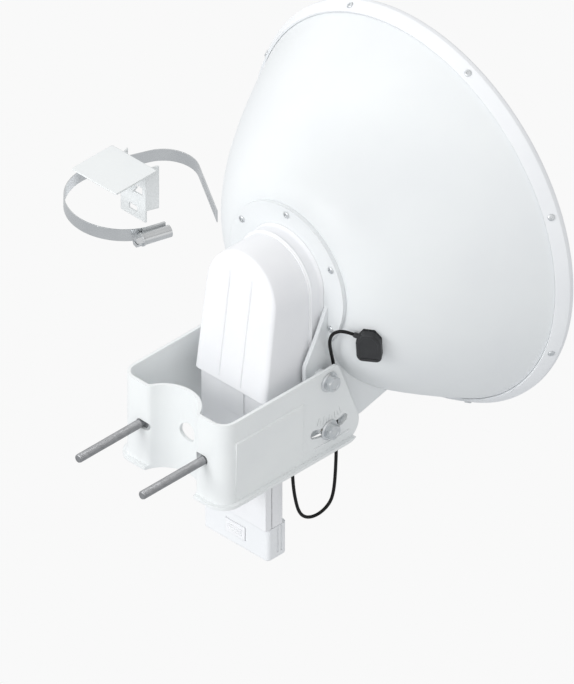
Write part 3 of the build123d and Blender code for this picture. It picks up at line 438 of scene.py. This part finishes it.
def buildCover(shape, dish):
    size = math.hypot(dish["rimRun"], dish["rimRise"])
    outR, outY = dish["rimRun"] / size, -dish["rimRise"] / size
    footY = dish["hubY"] + dish["depth"]
    frontY = footY + dish["rimRun"] + shape["gasket"]

    def skirtFace(distance):
        r, y = dish["bowlR"] + outR * distance, footY + outY * distance
        return [(r, y), (r + dish["rimRise"], y + dish["rimRun"]), (r + dish["rimRise"], frontY)]

    inner = skirtFace(shape["fit"])
    outer = skirtFace(shape["fit"] + shape["skirt"])
    innerR, outerR = inner[-1][0], outer[-1][0]
    turns = np.linspace(0, math.pi / 2, shape["bendSteps"])
    bend, thick = shape["bend"], shape["skirt"]
    edge = np.stack((outerR - bend + bend * np.cos(turns), frontY + thick - bend + bend * np.sin(turns)), axis=1)
    shares = np.linspace(1, 0, shape["steps"])
    # The dome's height falls with the square of the radius.
    dome = frontY + shape["dome"] * (1 - shares**2)
    domeOut = np.stack((np.maximum((outerR - bend) * shares, shape["middleR"]), dome + thick), axis=1)
    domeIn = np.stack((np.maximum(innerR * shares, shape["middleR"]), dome), axis=1)
    lipR, lipY = outer[0]
    lip = [(lipR - shape["lip"], lipY - shape["lipBack"]), (lipR, lipY + shape["lip"])]
    profile = np.concatenate(([inner[0]], lip, [outer[1]], edge, domeOut[1:], domeIn[::-1], [inner[1]]))
    vertices = turned(profile, (0, 0, dish["centreZ"]), (0, 1, 0), (0, 0, 1), dish["segments"])
    faces = [face[::-1] for face in gridFaces(len(profile), dish["segments"], closeRows=True)]
    return addPiece("dishCover", vertices, faces, whiteCover, "antenna", ("radome",), 25)


buildCover(coverShape, dishShape)
print("dish built")


# Receiver cable: one smooth line through the route's points
cableSettings = {
    "diameter": 0.003,
    "length": 0.316,
    "points": [
        mm(45.5, 103.85, -37.52), mm(45.5, 110.45, -47.54), mm(45.8, 110.6, -66), mm(46.3, 112.4, -85),
        mm(47.1, 117.0, -105), mm(48.5, 125.6, -113.6), mm(50.3, 137.4, -114.8), mm(52.0, 147.8, -109.3),
        mm(53.0, 152.4, -100.4), mm(53.8, 154.2, -82), mm(54.5, 155.0, -50), mm(54.8, 154.4, -15),
        mm(54.9, 153.2, 15), mm(55.2, 151.0, 38), mm(56.0, 146.8, 53.5), mm(57.6, 143.3, 65),
        mm(60.6, 141.8, 74.5), mm(65.8, 141.9, 81.7), mm(73.15, 145.28, 84.94), mm(79.63, 150.68, 81.79),
    ],
}


def buildCable(settings):
    curve = bpy.data.curves.new("receiverCable", "CURVE")
    curve.dimensions = "3D"
    curve.bevel_depth = settings["diameter"] / 2
    curve.bevel_resolution = 6
    curve.resolution_u = 12
    curve.use_fill_caps = True
    spline = curve.splines.new("NURBS")
    spline.points.add(len(settings["points"]) - 1)
    for point, place in zip(spline.points, settings["points"]):
        point.co = (*place, 1)
    spline.order_u = 3
    spline.use_endpoint_u = True
    curve.materials.append(cableJacket)
    cable = bpy.data.objects.new("receiverCable", curve)
    bpy.context.scene.collection.objects.link(cable)
    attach(cable, "antenna")
    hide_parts("gps_cable")


buildCable(cableSettings)
print("cable built")


# Hood and arch housing: sheets carried round one arch outline

def archOutline(half, foot, bottomZ, centreZ, legSteps, arcSteps):
    # (x, z) from the left foot up, over the half circle and down to the right foot.
    z = np.linspace(bottomZ, centreZ, legSteps, endpoint=False)
    x = foot + (half - foot) * (z - bottomZ) / (centreZ - bottomZ)
    turns = np.linspace(math.pi, 0, arcSteps)
    arc = np.stack((half * np.cos(turns), centreZ + half * np.sin(turns)), axis=1)
    left = np.stack((-x, z), axis=1)
    right = np.stack((x, z), axis=1)[::-1]
    return np.concatenate((left, arc, right))


def sheetFaces(rows, columns, start=0):
    # Quads between neighbours of an open grid.
    row, column = np.meshgrid(np.arange(rows - 1), np.arange(columns - 1), indexing="ij")
    corner = (row * columns + column).ravel() + start
    return np.stack((corner, corner + 1, corner + columns + 1, corner + columns), axis=1).tolist()


def closeSkin(piece, smoothDeg):
    # Welds the seams and turns every face outwards.
    mesh = piece.data
    work = bmesh.new()
    work.from_mesh(mesh)
    bmesh.ops.remove_doubles(work, verts=work.verts, dist=1e-6)
    bmesh.ops.recalc_face_normals(work, faces=work.faces)
    work.to_mesh(mesh)
    work.free()
    mesh.shade_smooth()
    mesh.set_sharp_from_angle(angle=math.radians(smoothDeg))


hoodShape = {
    "half": 0.0414, "foot": 0.0426, "bottomZ": 0.024, "centreZ": 0.110, "wall": 0.0021, "rearY": 0.134,
    "frontY": 0.081, "slope": 0.14, "slopeZ": 0.036, "edgeIn": 0.0062, "edgeDeep": 0.0042, "ribX": 0.013,
    "ribHalf": 0.0007, "ribProud": 0.0008, "ribLowZ": 0.0285, "ribHighZ": 0.1315, "ribSunk": 0.0004, "ribEnds": 14,
    "hem": 0.004, "legSteps": 26, "arcSteps": 73, "edgeSteps": 10, "flatSteps": 12,
}


def hoodSheet(shape, inset):
    # Each outline point runs forward, over a rounded edge and in to the middle line of the front:
    # y = slanted front + edgeDeep (1 - sqrt(1 - (1 - d / edgeIn)^2)) while d < edgeIn.
    outline = archOutline(
        shape["half"], shape["foot"], shape["bottomZ"], shape["centreZ"], shape["legSteps"], shape["arcSteps"]
    )
    turns = np.linspace(0, math.pi / 2, shape["edgeSteps"])
    edge = shape["edgeIn"] * (1 - np.cos(turns))
    flat = np.linspace(shape["edgeIn"], shape["half"], shape["flatSteps"])[1:]
    steps = np.concatenate((np.zeros(2), edge, flat))
    fall = np.where(steps < shape["edgeIn"], 1 - steps / shape["edgeIn"], 0)
    roundOff = shape["edgeDeep"] * (1 - np.sqrt(1 - np.minimum(fall, 1) ** 2))
    shrink = 1 - (steps + inset * (1 - steps / shape["half"])) / shape["half"]
    x = outline[None, :, 0] * shrink[:, None]
    above = np.maximum(outline[:, 1] - shape["centreZ"], 0)
    z = outline[None, :, 1] - above[None, :] * (1 - shrink[:, None])
    y = shape["frontY"] + shape["slope"] * (z - shape["slopeZ"]) + inset + roundOff[:, None]
    y[0] = shape["rearY"]
    y[1] = shape["rearY"] - shape["hem"]
    return np.stack((x, y, z), axis=2)


def buildHood(shape):
    outer, inner = hoodSheet(shape, 0), hoodSheet(shape, shape["wall"])
    rows, columns = outer.shape[:2]
    count = rows * columns
    faces = sheetFaces(rows, columns) + sheetFaces(rows, columns, count)
    c = np.arange(columns - 1)
    rear = np.stack((c, c + 1, count + c + 1, count + c), axis=1).tolist()
    a = (np.arange(rows - 1) * columns + np.array((0, columns - 1))[:, None]).ravel()
    feet = np.stack((a, a + columns, count + a + columns, count + a), axis=1).tolist()
    vertices = [outer.reshape(-1, 3), inner.reshape(-1, 3)]
    start = 2 * count
    # Each rib is a low rounded bar on the slanting front: height = ribProud cos(across).
    across = np.linspace(-1, 1, 7)
    along = np.linspace(0, 1, 24)
    for side in (1, -1):
        z = shape["ribLowZ"] + (shape["ribHighZ"] - shape["ribLowZ"]) * along
        ends = np.clip(np.minimum(along, 1 - along) * shape["ribEnds"], 0, 1) ** 0.5
        front = shape["frontY"] + shape["slope"] * (z - shape["slopeZ"])
        lift = shape["ribProud"] * np.cos(across * math.pi / 2)[None, :] * ends[:, None]
        x = side * shape["ribX"] + shape["ribHalf"] * across[None, :] + 0 * z[:, None]
        top = np.stack((x, front[:, None] - lift, z[:, None] + 0 * x), axis=2)
        back = np.stack((x[:, ::-1], front[:, None] + shape["ribSunk"] + 0 * x, z[:, None] + 0 * x), axis=2)
        ring = np.concatenate((top, back), axis=1)
        vertices.append(ring.reshape(-1, 3))
        rear += gridFaces(ring.shape[0], ring.shape[1], start=start, capEnds=True)
        start += ring.shape[0] * ring.shape[1]
    piece = addPiece(
        "radioHood", np.concatenate(vertices), faces + rear + feet, whiteShell, "antenna", ("hood",)
    )
    closeSkin(piece, 32)


buildHood(hoodShape)

archShape = {
    "half": 0.043, "bottomZ": 0.024, "centreZ": 0.110, "wall": 0.0025, "frontY": 0.134, "rearY": 0.149,
    "beadY": 0.1362, "beadHalf": 0.0013, "beadProud": 0.0009, "flareY": 0.1445, "flareOut": 0.0021,
    "legSteps": 26, "arcSteps": 73,
}


def buildArch(shape):
    # Offset of the outer face at y: a rounded bead near the front and a flare 1 - cos towards the ring.
    y = np.concatenate((
        [shape["frontY"], shape["frontY"] + 0.0004],
        np.linspace(shape["beadY"] - shape["beadHalf"], shape["beadY"] + shape["beadHalf"], 9),
        np.linspace(shape["beadY"] + 0.002, shape["flareY"], 4),
        np.linspace(shape["flareY"], shape["rearY"], 9)[1:],
    ))
    away = np.clip(np.abs(y - shape["beadY"]) / shape["beadHalf"], 0, 1)
    flare = np.clip((y - shape["flareY"]) / (shape["rearY"] - shape["flareY"]), 0, 1)
    out = shape["beadProud"] * np.sqrt(1 - away**2) + shape["flareOut"] * (1 - np.cos(flare * math.pi / 2))
    out[0] = -0.0004
    loopY = np.concatenate((y, y[[-1, 0]]))
    loopOut = np.concatenate((out, [-shape["wall"], -shape["wall"]]))
    outline = archOutline(1, 1, shape["bottomZ"], shape["centreZ"], shape["legSteps"], shape["arcSteps"])
    legs = outline[:, 1] <= shape["centreZ"]
    half = shape["half"] + loopOut
    x = outline[:, 0][None, :] * half[:, None]
    rise = np.where(legs, 0, outline[:, 1] - shape["centreZ"])
    base = np.where(legs, outline[:, 1], shape["centreZ"])
    z = base[None, :] + rise[None, :] * half[:, None]
    vertices = np.stack((x, loopY[:, None] + 0 * x, z), axis=2).reshape(-1, 3)
    rows, columns = x.shape
    faces = sheetFaces(rows, columns)
    c = np.arange(columns - 1)
    last = (rows - 1) * columns + c
    faces += np.stack((last, last + 1, c + 1, c), axis=1).tolist()
    faces += [(np.arange(rows) * columns + column).tolist() for column in (0, columns - 1)]
    piece = addPiece("archHousing", vertices, faces, whiteShell, "antenna", ("arch_housing",))
    closeSkin(piece, 32)


buildArch(archShape)
print("hood and arch housing built")


# Threads, screws and bolts

def wayFrame(axis):
    # Two unit vectors square to the axis and to each other.
    axis = np.array(axis, float) / np.linalg.norm(axis)
    helper = np.array((0, 0, 1.0)) if abs(axis[2]) < 0.9 else np.array((1.0, 0, 0))
    side = np.cross(helper, axis)
    side /= np.linalg.norm(side)
    return axis, side, np.cross(axis, side)


def roundRows(start, axis, heights, radii):
    # Rings along an axis: heights is (rows,), radii is (rows, columns), columns go once round.
    axis, side, across = wayFrame(axis)
    turns = np.linspace(0, 2 * math.pi, radii.shape[1], endpoint=False)
    ringWays = np.cos(turns)[:, None] * side + np.sin(turns)[:, None] * across
    points = np.array(start) + heights[:, None, None] * axis + radii[:, :, None] * ringWays
    return points.reshape(-1, 3)


def hexRadius(columns, flatR):
    # Distance to a hexagon's edge: flatR over the cosine of the angle from the nearest flat's middle.
    turns = np.linspace(0, 2 * math.pi, columns, endpoint=False)
    return flatR / np.cos((turns + math.pi / 6) % (math.pi / 3) - math.pi / 6)


def threadRows(length, radius, pitch, deep, columns, perTurn=8):
    # r = radius - deep * |triangle wave of (height / pitch - turn)|, with a cut end where the rod starts.
    rows = int(length / pitch * perTurn)
    heights = np.linspace(0, length, rows)
    turns = np.linspace(0, 1, columns, endpoint=False)
    wave = np.abs((heights[:, None] / pitch - turns[None, :]) % 1 * 2 - 1)
    startCut = np.clip(heights / pitch, 0, 1)[:, None]
    startShare = 0.86
    return heights, (radius - deep * wave) * (startShare + (1 - startShare) * startCut)


def stackRows(parts, start, axis, offset):
    # Joins (heights, radii) pieces end to end into one closed skin and numbers its faces from offset.
    heights = np.concatenate([part[0] for part in parts])
    radii = np.concatenate([part[1] for part in parts])
    vertices = roundRows(start, axis, heights, radii)
    return vertices, gridFaces(len(heights), radii.shape[1], start=offset, capEnds=True)


def ringPart(heightsAndRadii, columns):
    heights = np.array([pair[0] for pair in heightsAndRadii])
    radii = np.array([np.broadcast_to(pair[1], (columns,)) for pair in heightsAndRadii])
    return heights, radii


def joinSkins(name, skins, material, body, nodes, smoothDeg=35):
    vertices, faces = [], []
    for parts, start, axis in skins:
        piecePoints, pieceFaces = stackRows(parts, start, axis, sum(len(block) for block in vertices))
        vertices.append(piecePoints)
        faces += pieceFaces
    return addPiece(name, np.concatenate(vertices), faces, material, body, nodes, smoothDeg)


rodSettings = {
    "x": 0.0385, "tipY": -0.065, "neckY": 0.0095, "seatY": 0.0135, "radius": 0.004, "neckR": 0.0035,
    "headR": 0.0065, "headT": 0.0048, "pitch": 0.00125, "threadDeep": 0.00062, "columns": 40,
    "domeFoot": 0.0006, "middleR": 0.0004,
}


def rodParts(rod):
    columns = rod["columns"]
    heights, radii = threadRows(rod["neckY"] - rod["tipY"], rod["radius"], rod["pitch"], rod["threadDeep"], columns)
    neck, seat, top = rod["neckY"] - rod["tipY"], rod["seatY"] - rod["tipY"], rod["headT"]
    turns = np.linspace(0, math.pi / 2, 8)
    # The coach head's dome: r = headR cos a, height = headT sin a.
    domeFoot = rod["domeFoot"]
    domeR = np.maximum(rod["headR"] * np.cos(turns), rod["middleR"])
    dome = zip(seat + domeFoot + (top - domeFoot) * np.sin(turns), domeR)
    rings = [(neck, rod["neckR"]), (seat, rod["neckR"]), (seat, rod["headR"]), *dome]
    return [(heights, radii), ringPart(rings, columns)]


joinSkins(
    "clampRods",
    [(rodParts(rodSettings), (side * rodSettings["x"], rodSettings["tipY"], 0), (0, 1, 0)) for side in (1, -1)],
    rolledRod, "bracket", ("clamp_bolts",), 50,
)

flangeBoltSettings = {
    "faceX": 0.0626, "y": 0.138, "topZ": 0.030, "lowZ": -0.020, "shank": 0.014, "radius": 0.004, "pitch": 0.00125,
    "threadDeep": 0.0006, "flangeR": 0.0095, "flangeTopR": 0.0082, "flangeT": 0.0018, "hexR": 0.0074,
    "hexT": 0.0056, "chamfer": 0.0009, "dishR": 0.0045, "dishDeep": 0.0005, "columns": 72,
    "flangeEdge": 0.0003, "flangeRise": 0.0008, "flangeLean": 0.0013, "flangeLeanR": 0.0006, "coneOut": 0.0001,
    "coneShare": 0.86, "coneSteps": 7, "middleR": 0.0004,
}


def flangeBoltParts(bolt):
    columns = bolt["columns"]
    heights, radii = threadRows(bolt["shank"], bolt["radius"], bolt["pitch"], bolt["threadDeep"], columns)
    hexagon = hexRadius(columns, bolt["hexR"] * math.cos(math.pi / 6))
    face = bolt["shank"]
    crown = face + bolt["flangeT"]
    top = crown + bolt["hexT"]
    edge, flangeR, flangeTopR = bolt["flangeEdge"], bolt["flangeR"], bolt["flangeTopR"]
    rings = [
        (face, bolt["radius"]), (face, flangeR - edge), (face + edge, flangeR),
        (face + bolt["flangeRise"], flangeR), (face + bolt["flangeLean"], flangeTopR + bolt["flangeLeanR"]),
        (crown, flangeTopR), (crown, hexagon),
    ]
    # The hexagon is cut by a shallow cone near its top: r = min(hexagon, cone).
    for share in np.linspace(0, 1, bolt["coneSteps"]):
        cone = bolt["hexR"] + bolt["coneOut"] - bolt["hexR"] * (1 - bolt["coneShare"]) * share
        rings.append((top - bolt["chamfer"] * (1 - share), np.minimum(hexagon, cone)))
    bottom = top - bolt["dishDeep"]
    rings += [(top, bolt["dishR"]), (bottom, bolt["dishR"] - bolt["middleR"]), (bottom, bolt["middleR"])]
    return [(heights, radii), ringPart(rings, columns)]


for sideName, side in (("right", 1), ("left", -1)):
    for levelName, height in (("top", flangeBoltSettings["topZ"]), ("low", flangeBoltSettings["lowZ"])):
        startX = side * (flangeBoltSettings["faceX"] - flangeBoltSettings["shank"])
        start = (startX, flangeBoltSettings["y"], height)
        joinSkins(
            f"flangeBolt{sideName.title()}{levelName.title()}",
            [(flangeBoltParts(flangeBoltSettings), start, (side, 0, 0))],
            zincPlate, f"bolt_{sideName}_{levelName}", (f"flange_bolt_{sideName}_{levelName}",), 30,
        )

smallScrewSettings = {
    "hub": {
        "headR": 0.0034, "headT": 0.0014, "shaftR": 0.0017, "run": 0.0075, "socketR": 0.0013, "socketDeep": 0.001,
    },
    "rim": {
        "headR": 0.0032, "headT": 0.0010, "shaftR": 0.0015, "run": 0.0046, "socketR": 0.0012, "socketDeep": 0.0008,
    },
    "hubPitchR": 0.062, "hubCount": 6, "hubFaceY": 0.149, "rimCount": 8, "rimStartDeg": 22.5, "rimLift": 0.0027,
    "columns": 36,
}


def smallScrewParts(screw, columns):
    face = screw["run"]
    socket = hexRadius(columns, screw["socketR"])
    # A button head: r = headR cos(a) ^ 0.5 as the height rises by headT sin a.
    lastTurn, middleR = 1.1, 0.0002
    turns = np.linspace(0, lastTurn, 7)
    heights = face + screw["headT"] * np.sin(turns) / math.sin(lastTurn)
    dome = zip(heights, screw["headR"] * np.cos(turns) ** 0.5)
    top = face + screw["headT"]
    bottom = top - screw["socketDeep"]
    rings = [(0, screw["shaftR"]), (face, screw["shaftR"]), *dome]
    rings += [(top, socket), (bottom, socket), (bottom, middleR)]
    return [ringPart(rings, columns)]


def buildSmallScrews(settings, dish):
    hubParts = smallScrewParts(settings["hub"], settings["columns"])
    rimParts = smallScrewParts(settings["rim"], settings["columns"])
    hubSkins, rimSkins = [], []
    for number in range(settings["hubCount"]):
        turn = 2 * math.pi * number / settings["hubCount"]
        x, z = settings["hubPitchR"] * math.sin(turn), dish["centreZ"] + settings["hubPitchR"] * math.cos(turn)
        hubSkins.append((hubParts, (x, settings["hubFaceY"] + settings["hub"]["run"], z), (0, -1, 0)))
    size = math.hypot(dish["rimRun"], dish["rimRise"])
    outR, outY = dish["rimRun"] / size, -dish["rimRise"] / size
    lift = settings["rimLift"] - settings["rim"]["run"]
    r = dish["bowlR"] + dish["rimRise"] / 2 + outR * lift
    y = dish["hubY"] + dish["depth"] + dish["rimRun"] / 2 + outY * lift
    for number in range(settings["rimCount"]):
        turn = math.radians(settings["rimStartDeg"]) + 2 * math.pi * number / settings["rimCount"]
        start = (r * math.sin(turn), y, dish["centreZ"] + r * math.cos(turn))
        rimSkins.append((rimParts, start, (outR * math.sin(turn), outY, outR * math.cos(turn))))
    joinSkins("hubScrews", hubSkins, zincPlate, "antenna", ("hub_screws",))
    joinSkins("rimScrews", rimSkins, zincPlate, "antenna", ("rim_screws",))


buildSmallScrews(smallScrewSettings, dishShape)
print("rods, bolts and screws built")


# Position receiver's case: the outline is stepped in along a rounded edge

puckSettings = {
    "x": 0.0855, "z": 0.069, "base": 0.0015, "top": 0.0075, "edge": 0.0016, "wall": 0.0014,
    "outline": [mm(8, -17), mm(11, -13), mm(11, 8), mm(5, 17), mm(-5, 17), mm(-11, 8), mm(-11, -13), mm(-8, -17)],
    "cornerR": 0.0026, "sleeveR": 0.0025, "sleeveAt": mm(-8, 12.5, 4.5), "sleeveWay": (-0.72, -0.60, 0.35),
    "sleeveRun": 0.005,
}


def insetOutline(outline, distance):
    # Moves every point of a convex, anticlockwise outline inwards along its own normal.
    ahead, behind = np.roll(outline, -1, axis=0), np.roll(outline, 1, axis=0)
    run = ahead - behind
    run /= np.linalg.norm(run, axis=1)[:, None]
    return outline + distance * np.stack((-run[:, 1], run[:, 0]), axis=1)


def buildPuck(settings, dish):
    dx, dz = settings["x"], settings["z"] - dish["centreZ"]
    r = math.hypot(dx, dz)
    run = dish["bowlR"] - dish["hubR"]
    share = (r - dish["hubR"]) / run
    rise = dish["depth"] * dish["power"] * share ** (dish["power"] - 1)
    out = np.array((dx / r * rise, -run, dz / r * rise))
    out /= np.linalg.norm(out)
    up = np.array((0, 0, 1.0)) - out * out[2]
    up /= np.linalg.norm(up)
    side = np.cross(up, out)
    centre = np.array((settings["x"], dish["hubY"] + dish["depth"] * share ** dish["power"], settings["z"]))
    outline = roundedOutline(settings["outline"], settings["cornerR"], 7)
    edge, top, base = settings["edge"], settings["top"], settings["base"]
    turns = np.linspace(0, math.pi / 2, 9)
    steps = [(0.0003, base), (0, base + 0.0003)]
    steps += [(edge * (1 - math.cos(a)), top - edge + edge * math.sin(a)) for a in turns]
    steps += [(edge + 0.0012, top), (edge + 0.0016, top - 0.0003), (edge + 0.0024, top - 0.0003)]
    rows = []
    for inset, height in steps:
        ring = insetOutline(outline, inset)
        rows.append(centre + ring[:, :1] * side + ring[:, 1:] * up + height * out)
    vertices = np.concatenate(rows)
    faces = gridFaces(len(rows), len(outline), capEnds=True)
    away = np.array(settings["sleeveWay"]) / np.linalg.norm(settings["sleeveWay"])
    offset = settings["sleeveAt"]
    start = centre + offset[0] * side + offset[1] * up + offset[2] * out - away * 0.001
    r = settings["sleeveR"]
    length = settings["sleeveRun"] + 0.001
    rings = [(0, r), (length * 0.45, r), (length * 0.5, r * 0.88), (length * 0.56, r), (length * 0.72, r)]
    rings += [(length * 0.77, r * 0.86), (length * 0.83, r * 0.96)]
    rings += [(length - 0.0004, r * 0.92), (length, r * 0.82)]
    sleevePoints, sleeveFaces = stackRows([ringPart(rings, 32)], start, away, len(vertices))
    addPiece(
        "receiverCase", np.concatenate((vertices, sleevePoints)), faces + sleeveFaces, blackShell, "antenna",
        ("gps_housing",), 35,
    )


buildPuck(puckSettings, dishShape)
print("receiver built")


# Floor and lights

stageSettings = {
    "floorZ": -6.0, "floorHalf": 60.0, "floorColour": "#f9f9f9", "bounceColour": "#dcdee0",
    "skyColour": "#ffffff", "keyWay": (-0.35, -0.75, 0.65), "skyLow": 0.42, "skyHigh": 1.22,
    "patchScale": 1.6, "patchLow": 0.72, "patchHigh": 1.24,
}


def buildFloor(settings):
    material, tree = newMaterial("paleFloorPaint")
    # The floor shows pale, but sends less light back up than it shows.
    seen = addNode(tree, "ShaderNodeEmission", {"Color": paint(settings["floorColour"])})
    bounce = addNode(tree, "ShaderNodeBsdfDiffuse", {"Color": paint(settings["bounceColour"])})
    path = addNode(tree, "ShaderNodeLightPath")
    inputs = {0: path.outputs["Is Camera Ray"], 1: bounce.outputs[0], 2: seen.outputs[0]}
    finishMaterial(tree, addNode(tree, "ShaderNodeMixShader", inputs))
    half, z = settings["floorHalf"], settings["floorZ"]
    mesh = bpy.data.meshes.new("paleFloor")
    mesh.from_pydata([(-half, -half, z), (half, -half, z), (half, half, z), (-half, half, z)], [], [(0, 1, 2, 3)])
    mesh.materials.append(material)
    floor = bpy.data.objects.new("paleFloor", mesh)
    bpy.context.scene.collection.objects.link(floor)
    return floor


def buildSky(settings):
    # A soft room: brightest towards the key side, darkest opposite, with slow broad patches that metal reflects.
    world = bpy.data.worlds.new("softRoom")
    world.use_nodes = True
    tree = world.node_tree
    tree.nodes.clear()
    way = addNode(tree, "ShaderNodeTexCoord").outputs["Generated"]
    toKey = tuple(Vector(settings["keyWay"]).normalized())
    facing = addNode(tree, "ShaderNodeVectorMath", {0: way, 1: toKey}, operation="DOT_PRODUCT").outputs["Value"]
    span = {"From Min": -1, "From Max": 1, "To Min": settings["skyLow"], "To Max": settings["skyHigh"]}
    glow = addNode(tree, "ShaderNodeMapRange", {"Value": facing, **span}).outputs[0]
    patch = addNode(tree, "ShaderNodeTexNoise", {"Vector": way, "Scale": settings["patchScale"], "Detail": 1.0})
    patchSpan = {"From Min": 0.35, "From Max": 0.65}
    patchSpan |= {"To Min": settings["patchLow"], "To Max": settings["patchHigh"]}
    shade = addNode(tree, "ShaderNodeMapRange", {"Value": patch.outputs["Fac"], **patchSpan}).outputs[0]
    strength = addNode(tree, "ShaderNodeMath", {0: glow, 1: shade}, operation="MULTIPLY").outputs[0]
    light = addNode(tree, "ShaderNodeBackground", {"Color": paint(settings["skyColour"]), "Strength": strength})
    addNode(tree, "ShaderNodeOutputWorld", {"Surface": light.outputs[0]})
    bpy.context.scene.world = world


lightSettings = [
    {"name": "keyPanel", "place": (-0.5, -2.9, 1.5), "aim": (0, 0.15, 0.05), "size": 1.3, "power": 40},
    {"name": "backPanel", "place": (-2.4, 0.9, 1.2), "aim": (0, 0.15, 0.05), "size": 1.8, "power": 5},
    {"name": "sidePanel", "place": (2.6, 0.4, 0.6), "aim": (0, 0.15, 0.05), "size": 2.0, "power": 1},
]


def buildLight(settings):
    data = bpy.data.lights.new(settings["name"], "AREA")
    data.energy = settings["power"]
    data.size = settings["size"]
    light = bpy.data.objects.new(settings["name"], data)
    bpy.context.scene.collection.objects.link(light)
    light.location = settings["place"]
    way = Vector(settings["place"]) - Vector(settings["aim"])
    light.rotation_euler = way.to_track_quat("Z", "Y").to_euler()
    return light


floor = buildFloor(stageSettings)
buildSky(stageSettings)
[buildLight(settings) for settings in lightSettings]
print("floor and lights set")
